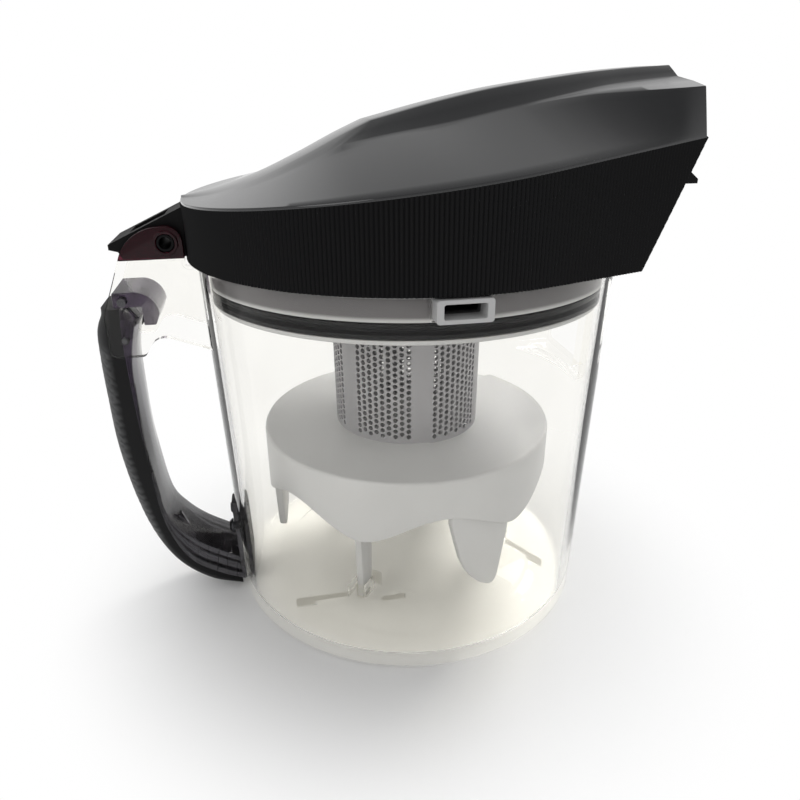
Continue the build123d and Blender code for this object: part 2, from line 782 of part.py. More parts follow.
def cover_section(place, *levels):
    """Closed YZ outline of the cover's top at one place, wider than the lid's plan."""
    grow = lid_radius / section_radius
    x = place * grow
    crease, foot, ridge = [level and (level[0] * grow, belt_low_z + level[1]) for level in levels]
    width = max(lid_half_width(x), foot[0] + 2 * cover_shoulder)
    edge_z = belt_top(x) + cover_lip
    if crease is None:
        share = cover_shoulder / (width - foot[0])
        crease = (foot[0] + cover_shoulder, foot[1] + (edge_z - foot[1]) * share)
    width = max(width, crease[0] + cover_edge_gap)
    steep = (crease[1] - edge_z) / (width - crease[0])
    spread = min(cover_spread - width, cover_drop / steep)
    edge = (width + spread, edge_z - steep * spread)
    half = [(edge[0], belt_top(x) - 2.0 * cover_drop), edge, crease, foot, ridge]
    outline = half + [(-y, z) for y, z in reversed(half)]
    return make_face(Polyline([(x, y, z) for y, z in outline], close=True))


def make_lid_cover():
    form = loft([cover_section(*station) for station in cover_sections], ruled=True)
    outside = form & plan_prism(cover_inset, belt_low_z, lid_high_z) & cover_nose(-cover_inset)
    outside -= under_belt_top()
    inner = plan_prism(cover_inset + cover_wall, belt_low_z, lid_high_z)
    inside = (Pos(0, 0, -cover_wall) * form) & inner & cover_nose(-cover_inset - cover_wall)
    cover = outside - inside
    deck_top = belt_low_z + deck_thickness
    for x, y in lid_screw_places():
        post = rod_z(x, y, boss_radius, deck_top, lid_high_z - spare)
        cover += post & (outside + inside)
        cover += rod_z(x, y, boss_radius, deck_top, belt_top(x))
        cover -= rod_z(x, y, screw_shank, deck_top - cut_over, deck_top + boss_hole_depth)
    return cover


def make_lid_screws():
    deck_top = belt_low_z + deck_thickness
    screws = []
    for x, y in lid_screw_places():
        shank = rod_z(x, y, screw_shank, belt_low_z, deck_top + boss_hole_depth - screw_end_gap)
        head = rod_z(x, y, screw_head, belt_low_z - screw_head_height, belt_low_z)
        screws.append((shank + head).solid())
    return Compound(children=screws)


def make_lid_seal():
    """Flat ring under the deck, over the insert's band, cut away above the side keeps."""
    outer = insert_radius
    inner = insert_radius - insert_band_wall - band_step
    low = belt_low_z - lid_seal_height
    ring = turned([(inner, low), (outer, low), (outer, belt_low_z), (inner, belt_low_z)])
    gap = socket_length / 2 + 3 * fit_gap
    return ring - block((-gap, gap), (-reach, reach), (low - cut_over, belt_low_z + cut_over))


def make_throat_seal():
    low = belt_low_z - throat_seal_height
    inner = neck_radius - neck_wall - throat_seal_lip
    outer = neck_radius + throat_seal_lip
    return turned([(inner, low), (outer, low), (outer, belt_low_z), (inner, belt_low_z)])


def make_outlet_seal():
    skin = belt_nose(outlet_seal_height) - belt_nose(0)
    return skin & (outlet_window(outlet_rim) - outlet_window(0))


def make_outlet_grille():
    front = -grille_set_back
    skin = belt_nose(front) - belt_nose(front - grille_thickness)
    grille = skin & outlet_window(0)
    pitch = (2 * outlet_half_width - grille_bar) / grille_slots
    for i in range(grille_slots):
        low = -outlet_half_width + grille_bar + pitch * i
        grille -= block((0, reach), (low, low + pitch - grille_bar),
                        (outlet_low_z + grille_bar, outlet_high_z - grille_bar))
    return grille


# Filter


def filter_block(inset, low, high):
    return block((filter_centre_x - filter_length / 2 + inset, filter_centre_x + filter_length / 2 - inset),
                 (-filter_width / 2 + inset, filter_width / 2 - inset), (low, high))


seal_z = belt_low_z + deck_thickness
frame_z = seal_z + filter_seal_height
foam_z = frame_z + filter_ledge
pleat_z = foam_z + foam_height
frame_top_z = frame_z + filter_frame_height


def make_filter_seal():
    opening = filter_block(filter_frame_wall + filter_seal_lip, seal_z - cut_over, frame_z + cut_over)
    return filter_block(0, seal_z, frame_z) - opening


def make_filter_frame():
    frame = filter_block(0, frame_z, frame_top_z) - filter_block(filter_frame_wall, frame_z - cut_over,
                                                               frame_top_z + cut_over)
    for share in (-0.25, 0.0, 0.25):
        x = filter_centre_x + share * filter_length
        frame += block((x - filter_bar / 2, x + filter_bar / 2),
                       (-filter_width / 2 + cut_over, filter_width / 2 - cut_over), (frame_z, foam_z))
    return frame


def make_foam_filter():
    return filter_block(filter_frame_wall + fit_gap, foam_z, pleat_z)


def make_pleated_filter():
    """One folded sheet, with its folds across the filter."""
    inset = filter_frame_wall + fit_gap
    low_x = filter_centre_x - filter_length / 2 + inset
    step = (filter_length - 2 * inset) / (2 * pleat_count)
    top_z = frame_top_z - pleat_thickness - pleat_gap
    fold = [(low_x + step * i, pleat_z if i % 2 == 0 else top_z) for i in range(2 * pleat_count + 1)]
    sheet = fold + [(x, z + 2 * pleat_thickness) for x, z in reversed(fold)]
    roof = filter_block(inset, pleat_z, frame_top_z)
    return side_prism(sheet, filter_width / 2 - inset) & roof


makers = {
    "dust_cup": make_dust_cup,
    "insert_ring": make_insert_ring,
    "side_sockets": make_side_sockets,
    "lip_seal": make_lip_seal,
    "shroud": make_shroud,
    "dust_skirt": make_dust_skirt,
    "handle_grip": make_handle_grip,
    "handle_frame": make_handle_frame,
    "handle_screws": make_handle_screws,
    "release_trigger": make_release_trigger,
    "trigger_pin": make_trigger_pin,
    "trigger_spring": make_trigger_spring,
    "lid_body": make_lid_body,
    "lid_cover": make_lid_cover,
    "hinge_pin": make_hinge_pin,
    "lid_screws": make_lid_screws,
    "lid_seal": make_lid_seal,
    "throat_seal": make_throat_seal,
    "outlet_seal": make_outlet_seal,
    "outlet_grille": make_outlet_grille,
    "filter_seal": make_filter_seal,
    "filter_frame": make_filter_frame,
    "foam_filter": make_foam_filter,
    "pleated_filter": make_pleated_filter,
}
os.makedirs("parts", exist_ok=True)
for name, make in makers.items():
    export_step(make(), f"parts/{name}.step")
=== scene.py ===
import json
from math import atan2, cos, pi, radians, sin, sqrt, tan

import bpy
from bpy.props import FloatProperty, FloatVectorProperty, IntProperty, PointerProperty
from bpy.types import Operator, Panel, PropertyGroup
from mathutils import Matrix, Vector


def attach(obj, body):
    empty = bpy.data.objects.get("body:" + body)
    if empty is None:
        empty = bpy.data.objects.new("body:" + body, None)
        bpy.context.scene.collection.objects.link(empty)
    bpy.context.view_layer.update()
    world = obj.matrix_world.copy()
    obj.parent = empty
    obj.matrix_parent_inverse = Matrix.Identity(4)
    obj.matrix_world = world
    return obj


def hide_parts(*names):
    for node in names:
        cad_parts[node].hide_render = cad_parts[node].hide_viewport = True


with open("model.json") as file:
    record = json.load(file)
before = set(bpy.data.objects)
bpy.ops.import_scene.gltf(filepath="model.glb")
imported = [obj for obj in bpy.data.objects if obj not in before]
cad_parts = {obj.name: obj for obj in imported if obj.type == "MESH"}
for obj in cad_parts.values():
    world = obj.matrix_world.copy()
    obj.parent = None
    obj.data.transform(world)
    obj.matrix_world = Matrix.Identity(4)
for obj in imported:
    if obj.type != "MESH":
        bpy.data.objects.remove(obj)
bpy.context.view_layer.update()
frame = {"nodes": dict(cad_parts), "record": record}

bl_info = {
    "name": "Cyclone dust bin",
    "version": (1, 0, 0),
    "blender": (4, 5, 0),
    "location": "View3D > Sidebar > Dust bin",
    "description": "Models the pieces, finishes and stage of a cyclone dust bin around its packed frame",
    "category": "Add Mesh",
}

MM = 0.001
MERGE = 0.000002


# Settings


def size(name, description, millimetres):
    return FloatProperty(name=name, description=description, default=millimetres * MM, unit="LENGTH",
                         subtype="DISTANCE")


def colour(name, description, value):
    return FloatVectorProperty(name=name, description=description, default=value, size=3, subtype="COLOR",
                               min=0.0, max=1.0)


class BIN_PG_cup(PropertyGroup):
    base_radius: size("Base radius", "Outer radius of the cup at the floor", 75.0)
    rim_radius: size("Rim radius", "Outer radius of the cup at the rim", 80.0)
    height: size("Height", "Height of the rim", 144.0)
    wall: size("Wall", "Thickness of the cup's wall", 2.4)
    floor: size("Floor", "Thickness of the cup's floor", 3.0)
    step_radius: size("Floor step radius", "Radius of the raised disc of the floor", 57.0)
    step_height: size("Floor step height", "Height of the raised disc of the floor", 1.5)
    segments: IntProperty(name="Segments", description="Facets round the cup", default=192, min=24)


class BIN_PG_insert(PropertyGroup):
    ring_radius: size("Ring radius", "Outer radius of the insert's ring", 76.9)
    low: size("Low edge", "Height of the underside of the ring's web", 128.8)
    shroud_radius: size("Shroud radius", "Radius of the shroud at its foot", 30.2)
    shroud_top_radius: size("Shroud top radius", "Radius of the shroud under the web", 30.8)
    shroud_wall: size("Shroud wall", "Thickness of the shroud", 1.8)
    shroud_low: size("Shroud foot", "Height of the foot of the shroud", 72.0)
    hole_diameter: size("Hole diameter", "Diameter of one hole of the shroud", 1.95)
    hole_rows: IntProperty(name="Hole rows", description="Holes in one column", default=22, min=2)
    hole_columns: IntProperty(name="Hole columns", description="Columns of holes in one panel", default=9, min=2)
    skirt_radius: size("Skirt radius", "Radius of the dust skirt", 61.2)
    skirt_low: size("Skirt edge", "Height of the lowest points of the skirt's wavy edge", 45.5)
    wave_height: size("Wave height", "Rise of the skirt's wavy edge between its lobes", 10.5)


class BIN_PG_handle(PropertyGroup):
    half_width: size("Half width", "Half the width of the handle", 12.5)
    edge_round: size("Edge round", "Rounding of the grip's outer edges", 6.6)
    stud_pitch: size("Stud pitch", "Spacing of the diamond studs on the grip", 3.4)
    stud_height: size("Stud height", "Height of the diamond studs on the grip", 0.42)


class BIN_PG_lid(PropertyGroup):
    radius: size("Radius", "Radius of the lid's round rear", 83.5)
    side_angle: FloatProperty(name="Side angle", description="Direction of the straight sides", subtype="ANGLE",
                              default=radians(69.9))
    belt_low: size("Belt low edge", "Height of the belt's low edge", 145.5)
    belt_rear: size("Belt rear", "Height of the belt's top edge at the rear", 165.0)
    belt_nose: size("Belt nose", "Height of the belt's top edge at the nose", 185.5)
    cover_wall: size("Cover wall", "Thickness of the glossy cover", 2.4)
    cover_inset: size("Cover inset", "How far the cover stands in from the belt", 0.3)


class BIN_PG_finish(PropertyGroup):
    clear: colour("Clear plastic", "Tint of the cup", (0.975, 0.970, 0.950))
    smoke: colour("Smoked plastic", "Tint of the trigger and the frame's top", (0.060, 0.042, 0.076))
    smoke_low: colour("Smoked plastic, low", "Tint of the frame's lower arm", (0.070, 0.068, 0.074))
    smoke_toe: colour("Smoked plastic, toe", "Tint of the trigger's thin toe", (0.32, 0.31, 0.32))
    ear: colour("Hinge ears", "Tint of the ears beside the tail", (0.115, 0.014, 0.030))
    black: colour("Black plastic", "Belt and tail", (0.0045, 0.0045, 0.005))
    # Painted sheen: the lighter colour on the grip's outward face and stud tops.
    grip: colour("Grip plastic", "Worn studs of the handle", (0.105, 0.106, 0.108))
    # Painted shade on the ring's band under the lid.
    band_painted_shade: colour("Ring band top", "Tint of the ring's band under the lid", (0.115, 0.110, 0.114))
    cover: colour("Cover", "Polished cover", (0.020, 0.0205, 0.022))
    light_grey: colour("Light grey", "Ring, keeps and skirt", (0.50, 0.50, 0.50))
    mid_grey: colour("Mid grey", "Shroud", (0.31, 0.305, 0.315))
    rubber: colour("Rubber", "Seals", (0.006, 0.006, 0.0065))
    steel: colour("Steel", "Blackened screws, pin and spring", (0.075, 0.075, 0.080))
    paper: colour("Paper", "Pleated filter", (0.86, 0.85, 0.80))
    foam: colour("Foam", "Foam filter", (0.10, 0.10, 0.11))


class BIN_PG_stage(PropertyGroup):
    floor: colour("Floor", "Colour of the floor", (0.92, 0.92, 0.92))
    sky: FloatProperty(name="Surround light", description="Light of the white surround on the object", default=0.66)
    horizon: FloatProperty(name="Horizon", description="Brightness low down of what polished parts reflect",
                           default=0.66)
    zenith: FloatProperty(name="Zenith", description="Brightness overhead of what polished parts reflect",
                          default=0.22)
    key: FloatProperty(name="Key lamp", description="Power of the soft lamp at the back right", default=7.5,
                       unit="POWER")
    fill: FloatProperty(name="Fill lamp", description="Power of the soft lamp on the left", default=1.2, unit="POWER")
    lens: FloatProperty(name="Lens", description="Focal length on a 36 mm sensor", default=30.73, unit="CAMERA")


# Modelling helpers


def deselect_all():
    active = bpy.context.view_layer.objects.active
    if active and active.mode != "OBJECT":
        bpy.ops.object.mode_set(mode="OBJECT")
    bpy.ops.object.select_all(action="DESELECT")


def take(piece):
    """Makes one piece the only selected and active one."""
    deselect_all()
    piece.select_set(True)
    bpy.context.view_layer.objects.active = piece


def edit(piece):
    """Opens a piece in edit mode with all of it selected."""
    take(piece)
    bpy.ops.object.mode_set(mode="EDIT")
    bpy.ops.mesh.select_mode(type="VERT")
    bpy.ops.mesh.select_all(action="SELECT")


def close_edit():
    bpy.ops.mesh.select_all(action="SELECT")
    bpy.ops.mesh.remove_doubles(threshold=MERGE)
    bpy.ops.mesh.normals_make_consistent(inside=False)
    bpy.ops.object.mode_set(mode="OBJECT")


def choose(piece, test):
    """Opens a piece in edit mode with the vertices selected that pass a test in millimetres."""
    take(piece)
    bpy.context.tool_settings.mesh_select_mode = (True, False, False)
    mesh = piece.data
    for part in (mesh.polygons, mesh.edges):
        part.foreach_set("select", [False] * len(part))
    mesh.vertices.foreach_set("select", [bool(test(v.co / MM)) for v in mesh.vertices])
    bpy.ops.object.mode_set(mode="EDIT")


def named(name):
    piece = bpy.context.object
    piece.name = name
    piece.data.name = name
    return piece


def place_points(piece, points):
    for vertex, point in zip(piece.data.vertices, points):
        vertex.co = Vector(point) * MM


def flat_outline(name, points):
    """Flat face through points in millimetres."""
    deselect_all()
    bpy.ops.mesh.primitive_circle_add(vertices=len(points), radius=0.01, fill_type="NGON")
    piece = named(name)
    place_points(piece, points)
    return piece


def prism(name, points, move):
    """Flat outline extruded along a vector."""
    piece = flat_outline(name, points)
    edit(piece)
    bpy.ops.mesh.extrude_region_move(TRANSFORM_OT_translate={"value": Vector(move) * MM})
    close_edit()
    return piece


def prism_y(name, outline, low, high):
    return prism(name, [(x, low, z) for x, z in outline], (0, high - low, 0))


def prism_x(name, outline, low, high):
    return prism(name, [(low, y, z) for y, z in outline], (high - low, 0, 0))


def block(name, x, y, z):
    corners = [(x[0], z[0]), (x[1], z[0]), (x[1], z[1]), (x[0], z[1])]
    return prism_y(name, corners, y[0], y[1])


def spun(name, profile, segments, open_axis=False):
    """Solid of revolution about Z from (radius, height) points in millimetres."""
    deselect_all()
    bpy.ops.mesh.primitive_circle_add(vertices=len(profile), radius=0.01, fill_type="NOTHING")
    piece = named(name)
    place_points(piece, [(r, 0, z) for r, z in profile])
    if open_axis:
        choose(piece, lambda p: p.x < 1e-6)
        bpy.ops.mesh.delete(type="EDGE")
    edit(piece)
    bpy.ops.mesh.spin(steps=segments, angle=2 * pi, center=(0, 0, 0), axis=(0, 0, 1), use_auto_merge=True)
    close_edit()
    return piece


def skinned(name, rings, closed=True):
    """Skin through rows of points in millimetres; closed rows are joined round and their ends filled."""
    across = len(rings[0])
    columns = across if closed else across - 1
    rows = len(rings) - 1
    deselect_all()
    bpy.ops.mesh.primitive_grid_add(x_subdivisions=columns, y_subdivisions=rows, size=2.0)
    piece = named(name)
    for vertex in piece.data.vertices:
        i = round((vertex.co.x + 1) / 2 * columns)
        j = round((vertex.co.y + 1) / 2 * rows)
        vertex.co = Vector(rings[j][i % across]) * MM
    edit(piece)
    bpy.ops.mesh.remove_doubles(threshold=MERGE)
    if closed:
        bpy.ops.mesh.select_all(action="DESELECT")
        bpy.ops.mesh.select_non_manifold(extend=False, use_wire=False, use_multi_face=False,
                                         use_non_contiguous=False, use_verts=False)
        bpy.ops.mesh.edge_face_add()
    close_edit()
    return piece


def modify(piece, kind, **values):
    take(piece)
    bpy.ops.object.modifier_add(type=kind)
    modifier = piece.modifiers[-1]
    for key, value in values.items():
        setattr(modifier, key, value)
    bpy.ops.object.modifier_apply(modifier=modifier.name)


def drop(piece):
    mesh = piece.data
    bpy.data.objects.remove(piece)
    bpy.data.meshes.remove(mesh)


def combine(piece, tool, operation):
    modify(piece, "BOOLEAN", object=tool, operation=operation, solver="EXACT")
    drop(tool)


def cut(piece, tool):
    combine(piece, tool, "DIFFERENCE")


def unite(piece, other):
    combine(piece, other, "UNION")


def soften(piece, width, segments=2, angle=40.0):
    """Rounds all edges sharper than an angle."""
    modify(piece, "BEVEL", width=width * MM, segments=segments, limit_method="ANGLE", angle_limit=radians(angle),
           use_clamp_overlap=True)


def turn(piece, angle, axis="Z", move=(0, 0, 0)):
    """Turns a piece about the origin, then moves it, in its mesh."""
    piece.data.transform(Matrix.Translation(Vector(move) * MM) @ Matrix.Rotation(radians(angle), 4, axis))


def copy_of(piece, name):
    take(piece)
    bpy.ops.object.duplicate()
    return named(name)


def joined(pieces):
    """Joins pieces into the first one."""
    take(pieces[0])
    for piece in pieces[1:]:
        piece.select_set(True)
    bpy.ops.object.join()
    return pieces[0]


def settle(piece, body, slot, nodes, smooth=30.0, flat_faces=False, finish=None):
    """Ends a piece: shading, finish, the body that it rides on and the nodes that it stands for."""
    if flat_faces:
        take(piece)
        bpy.ops.object.shade_smooth_by_angle(angle=radians(smooth))
        modify(piece, "WEIGHTED_NORMAL", keep_sharp=True)
    take(piece)
    bpy.ops.object.transform_apply(location=True, rotation=True, scale=True)
    if not flat_faces:
        bpy.ops.object.shade_smooth_by_angle(angle=radians(smooth))
    piece.data.materials.clear()
    piece.data.materials.append(bpy.data.materials[finish or slot])
    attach(piece, body)
    if nodes:
        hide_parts(*nodes)
    deselect_all()


# Outline helpers, in millimetres


def rounded(points, radius, steps=4):
    """Closed outline with rounded corners; a third value in a point is that corner's own radius."""
    made = []
    for i, point in enumerate(points):
        r = point[2] if len(point) > 2 else radius
        here = Vector(point[:2])
        back = Vector(points[i - 1][:2]) - here
        ahead = Vector(points[(i + 1) % len(points)][:2]) - here
        half = back.angle(ahead) / 2
        if r <= 0 or half > radians(88):
            made.append(tuple(here))
            continue
        reach = min(r / tan(half), 0.49 * back.length, 0.49 * ahead.length)
        back.normalize()
        ahead.normalize()
        r = reach * tan(half)
        centre = here + (back + ahead).normalized() * (r / sin(half))
        first = here + back * reach - centre
        last = here + ahead * reach - centre
        start = atan2(first.y, first.x)
        swing = (atan2(last.y, last.x) - start + pi) % (2 * pi) - pi
        for k in range(steps + 1):
            a = start + swing * k / steps
            made.append((centre.x + r * cos(a), centre.y + r * sin(a)))
    return made


def rectangle(low, high, radius, steps=4):
    return rounded([(low[0], low[1]), (high[0], low[1]), (high[0], high[1]), (low[0], high[1])], radius, steps)


def smooth_line(points, steps, finer=60):
    """Even points along a smooth line through a few points."""
    fine = []
    ends = [tuple(2 * Vector(points[0]) - Vector(points[1]))] + list(points)
    ends.append(tuple(2 * Vector(points[-1]) - Vector(points[-2])))
    for i in range(len(points) - 1):
        a, b, c, d = (Vector(p) for p in ends[i:i + 4])
        for k in range(finer):
            t = k / finer
            fine.append(b + (c - a) * (t / 2) + (2 * a - 5 * b + 4 * c - d) * (t * t / 2)
                        + (3 * b - a - 3 * c + d) * (t ** 3 / 2))
    fine.append(Vector(points[-1]))
    runs = [0.0]
    for p, q in zip(fine, fine[1:]):
        runs.append(runs[-1] + (q - p).length)
    made = []
    place = 0
    for i in range(steps + 1):
        goal = runs[-1] * i / steps
        while place < len(runs) - 2 and runs[place + 1] < goal:
            place += 1
        share = (goal - runs[place]) / (runs[place + 1] - runs[place])
        made.append(fine[place].lerp(fine[place + 1], share))
    return made


def rod_y(name, radius, length, place, segments, edge=0.0):
    """Rod along Y that starts at a place; its far edge may be rounded."""
    outline = rounded([(0, 0), (radius, 0), (radius, length, edge), (0, length)], 0)
    rod = spun(name, outline, segments, open_axis=True)
    turn(rod, -90, "X", place)
    return rod


# Finishes


WHITE = (1.0, 1.0, 1.0, 1.0)

# A ray that has passed this many walls goes straight on through clear plastic.
DEEPEST_WALL = 5.5

# Heights and places in metres at which the smoked plastic changes its colour and the ring's band gets painted shade.
SMOKE_RISE = (0.050, 0.120)
EAR_RISE = (0.1400, 0.1450)
TOE_REACH = (-0.102, -0.094)
TOE_LOW = (0.112, 0.118)
TOE_HIGH = (0.126, 0.134)
PAINTED_SHADE_RADII = (0.0700, 0.0774)
PAINTED_SHADE_LOW = (0.1366, 0.1382)
PAINTED_SHADE_HIGH = (0.1434, 0.1440)

# Slot: bump strength and distance, specular level, grain and smudge scale, lowest and highest roughness, and how
# much the shade changes.
SURFACES = {
    "black_plastic": (0.2, 0.0001, 0.12, 2600.0, 45.0, 0.42, 0.58, 0.3),
    "grip_plastic": (0.2, 0.0001, 0.18, 2400.0, 50.0, 0.40, 0.55, 0.3),
    "gloss_cover": (0.02, 0.00005, 0.5, 350.0, 18.0, 0.09, 0.15, 0.08),
    "light_grey_plastic": (0.1, 0.0001, 0.5, 2200.0, 30.0, 0.32, 0.44, 0.05),
    "mid_grey_plastic": (0.12, 0.0001, 0.5, 2200.0, 40.0, 0.38, 0.5, 0.08),
    "black_rubber": (0.15, 0.0001, 0.18, 3000.0, 60.0, 0.3, 0.45, 0.25),
    "steel": (0.1, 0.00005, 0.5, 1500.0, 120.0, 0.22, 0.4, 0.15),
    "filter_paper": (0.5, 0.0002, 0.5, 1200.0, 60.0, 0.8, 0.95, 0.1),
    "filter_foam": (1.0, 0.0008, 0.5, 700.0, 60.0, 0.85, 1.0, 0.6),
}
PLAIN = {"black_plastic": "black", "gloss_cover": "cover", "mid_grey_plastic": "mid_grey", "black_rubber": "rubber",
         "steel": "steel", "filter_paper": "paper", "filter_foam": "foam"}


def rgba(value):
    return (*value, 1.0)


def feed(tree, socket, value):
    """Sets an input to a constant or links a socket to it."""
    if isinstance(value, bpy.types.NodeSocket):
        tree.links.new(value, socket)
    else:
        socket.default_value = value


def give(tree, node, **values):
    """Feeds inputs of a node by name; an underscore stands for a space."""
    for key, value in values.items():
        feed(tree, node.inputs[key.replace("_", " ")], value)


def put(tree, kind, **values):
    """Adds a node; values are its properties or feed its inputs."""
    node = tree.nodes.new(kind)
    for key, value in values.items():
        if hasattr(node, key):
            setattr(node, key, value)
        else:
            give(tree, node, **{key: value})
    return node


def math(tree, operation, first, second):
    node = put(tree, "ShaderNodeMath", operation=operation)
    feed(tree, node.inputs[0], first)
    feed(tree, node.inputs[1], second)
    return node.outputs[0]


def product(tree, first, *others):
    for other in others:
        first = math(tree, "MULTIPLY", first, other)
    return first


def stretch(tree, value, span, start=0.0, end=1.0):
    """Smooth step from start to end while a value crosses a span."""
    node = put(tree, "ShaderNodeMapRange", interpolation_type="SMOOTHSTEP", Value=value, From_Min=span[0],
               From_Max=span[1], To_Min=start, To_Max=end)
    return node.outputs["Result"]


def noise(tree, place, scale, detail):
    return put(tree, "ShaderNodeTexNoise", Vector=place, Scale=scale, Detail=detail).outputs["Fac"]


def blend(tree, share, first, second, kind="MIX"):
    """Mixes two colours by a value; each is a constant or a socket."""
    node = put(tree, "ShaderNodeMix", data_type="RGBA", blend_type=kind)
    give(tree, node, Factor=share, A=first, B=second)
    return node.outputs["Result"]


def mix_shaders(tree, share, first, second):
    node = put(tree, "ShaderNodeMixShader", Fac=share)
    tree.links.new(first.outputs[0], node.inputs[1])
    tree.links.new(second.outputs[0], node.inputs[2])
    return node


def any_ray(tree, *kinds):
    """1 for a ray of one of the kinds, 0 for others."""
    path = put(tree, "ShaderNodeLightPath").outputs
    share = path[f"Is {kinds[0]} Ray"]
    for kind in kinds[1:]:
        share = math(tree, "MAXIMUM", share, path[f"Is {kind} Ray"])
    return share


def place_in(tree, space="Object"):
    return put(tree, "ShaderNodeTexCoord").outputs[space]


def axes_of(tree, place):
    """X, y and z of a place."""
    split = put(tree, "ShaderNodeSeparateXYZ", Vector=place)
    return split.outputs["X"], split.outputs["Y"], split.outputs["Z"]


def group_with(name, inputs, outputs):
    tree = bpy.data.node_groups.new(name, "ShaderNodeTree")
    for label, value in inputs:
        socket = tree.interface.new_socket(name=label, in_out="INPUT", socket_type="NodeSocketFloat")
        socket.default_value = value
    for label in outputs:
        tree.interface.new_socket(name=label, in_out="OUTPUT", socket_type="NodeSocketFloat")
    return tree, tree.nodes.new("NodeGroupInput").outputs, tree.nodes.new("NodeGroupOutput")


def moulded_group():
    """Grain of moulded plastic with smudges: roughness, shade and height."""
    tree, given, made = group_with("Moulded Surface", [
        ("Grain Scale", 1800.0), ("Smudge Scale", 40.0), ("Rough Low", 0.4), ("Rough High", 0.55),
        ("Shade Change", 0.1)], ["Roughness", "Shade", "Height"])
    place = place_in(tree)
    grain = noise(tree, place, given["Grain Scale"], 2.0)
    smudge = noise(tree, place, given["Smudge Scale"], 4.0)
    mixed = math(tree, "ADD", product(tree, smudge, 0.7), product(tree, grain, 0.3))
    share = stretch(tree, mixed, (0.3, 0.7))
    span = math(tree, "SUBTRACT", given["Rough High"], given["Rough Low"])
    change = product(tree, given["Shade Change"], math(tree, "SUBTRACT", share, 0.5))
    give(tree, made, Roughness=math(tree, "ADD", given["Rough Low"], product(tree, span, share)),
         Shade=math(tree, "ADD", 1.0, change), Height=grain)
    return tree


def scuff_group():
    """Fine upright scuffs of handled plastic, as a mask."""
    tree, given, made = group_with("Handling Scuffs", [("Scale", 90.0), ("Amount", 0.3)], ["Mask"])
    place = place_in(tree)
    lay = put(tree, "ShaderNodeMapping", Vector=place, Rotation=(0.3, 0.5, 0.2), Scale=(1.0, 1.0, 0.06))
    lines = noise(tree, lay.outputs["Vector"], given["Scale"], 5.0)
    patches = noise(tree, place, 22.0, 2.0)
    mask = product(tree, stretch(tree, lines, (0.56, 0.66)), stretch(tree, patches, (0.45, 0.7)))
    give(tree, made, Mask=product(tree, mask, given["Amount"]))
    return tree


def new_finish(name):
    """Empties a finish, or adds it, and gives it a shader."""
    material = bpy.data.materials.get(name) or bpy.data.materials.new(name)
    material.use_nodes = True
    tree = material.node_tree
    tree.nodes.clear()
    shader = put(tree, "ShaderNodeBsdfPrincipled")
    out = put(tree, "ShaderNodeOutputMaterial", Surface=shader.outputs["BSDF"])
    return tree, shader, out


def colour_in(tree, shader, base, shade):
    """Base colour, a constant or a socket, made lighter and darker by a value."""
    give(tree, shader, Base_Color=blend(tree, 1.0, base, shade, "MULTIPLY"))


def moulded(name, group):
    """Opaque finish without its colour; also gives the value that shades it."""
    strength, distance, gloss, grain, smudge, low, high, change = SURFACES[name]
    tree, shader, _ = new_finish(name)
    surface = put(tree, "ShaderNodeGroup", node_tree=group, Grain_Scale=grain, Smudge_Scale=smudge, Rough_Low=low,
                  Rough_High=high, Shade_Change=change).outputs
    relief = put(tree, "ShaderNodeBump", Strength=strength, Distance=distance, Height=surface["Height"])
    give(tree, shader, Roughness=surface["Roughness"], Normal=relief.outputs["Normal"], Specular_IOR_Level=gloss)
    return tree, shader, surface["Shade"]


def see_through(name, group, scuffs, rough, **values):
    """Clear finish with faint smudges and scuffs, without its colour; also gives the value that shades it."""
    tree, shader, out = new_finish(name)
    surface = put(tree, "ShaderNodeGroup", node_tree=group, Grain_Scale=900.0, Smudge_Scale=28.0,
                  Rough_Low=rough[0], Rough_High=rough[1], Shade_Change=0.03).outputs
    marks = put(tree, "ShaderNodeGroup", node_tree=scuffs, Scale=120.0, Amount=0.10)
    give(tree, shader, Roughness=math(tree, "ADD", surface["Roughness"], marks.outputs["Mask"]), **values)
    return tree, shader, out, surface["Shade"]


def let_light_through(tree, shader, out, base, share):
    """Lamps shine through the plastic, tinted by it, and rays deep in it go straight on."""
    clear = put(tree, "ShaderNodeBsdfTransparent", Color=base)
    path = put(tree, "ShaderNodeLightPath").outputs
    deep = math(tree, "GREATER_THAN", path["Transmission Depth"], DEEPEST_WALL)
    through = math(tree, "MAXIMUM", product(tree, path["Is Shadow Ray"], share), deep)
    give(tree, out, Surface=mix_shaders(tree, through, shader, clear).outputs["Shader"])


def clear_finish(look, group, scuffs):
    tree, shader, out, shade = see_through("clear_plastic", group, scuffs, (0.0, 0.03), IOR=1.07,
                                           Transmission_Weight=1.0, Coat_Weight=0.16, Coat_Roughness=0.03)
    colour_in(tree, shader, rgba(look.clear), shade)
    let_light_through(tree, shader, out, rgba(look.clear), 0.95)


def smoked_finish(look, group, scuffs):
    """Smoked plastic: grey low down, purple at the top, paler at the trigger's toe, wine-red on the hinge ears."""
    tree, shader, out, shade = see_through("smoked_plastic", group, scuffs, (0.05, 0.14), IOR=1.20,
                                           Transmission_Weight=0.85, Coat_Weight=0.2, Coat_Roughness=0.05)
    x, _, z = axes_of(tree, place_in(tree))
    base = blend(tree, stretch(tree, z, SMOKE_RISE), rgba(look.smoke_low), rgba(look.smoke))
    toe = product(tree, stretch(tree, x, TOE_REACH), stretch(tree, z, TOE_LOW), stretch(tree, z, TOE_HIGH, 1.0, 0.0))
    base = blend(tree, toe, base, rgba(look.smoke_toe))
    base = blend(tree, stretch(tree, z, EAR_RISE), base, rgba(look.ear))
    colour_in(tree, shader, base, shade)
    let_light_through(tree, shader, out, rgba(look.smoke), 0.5)


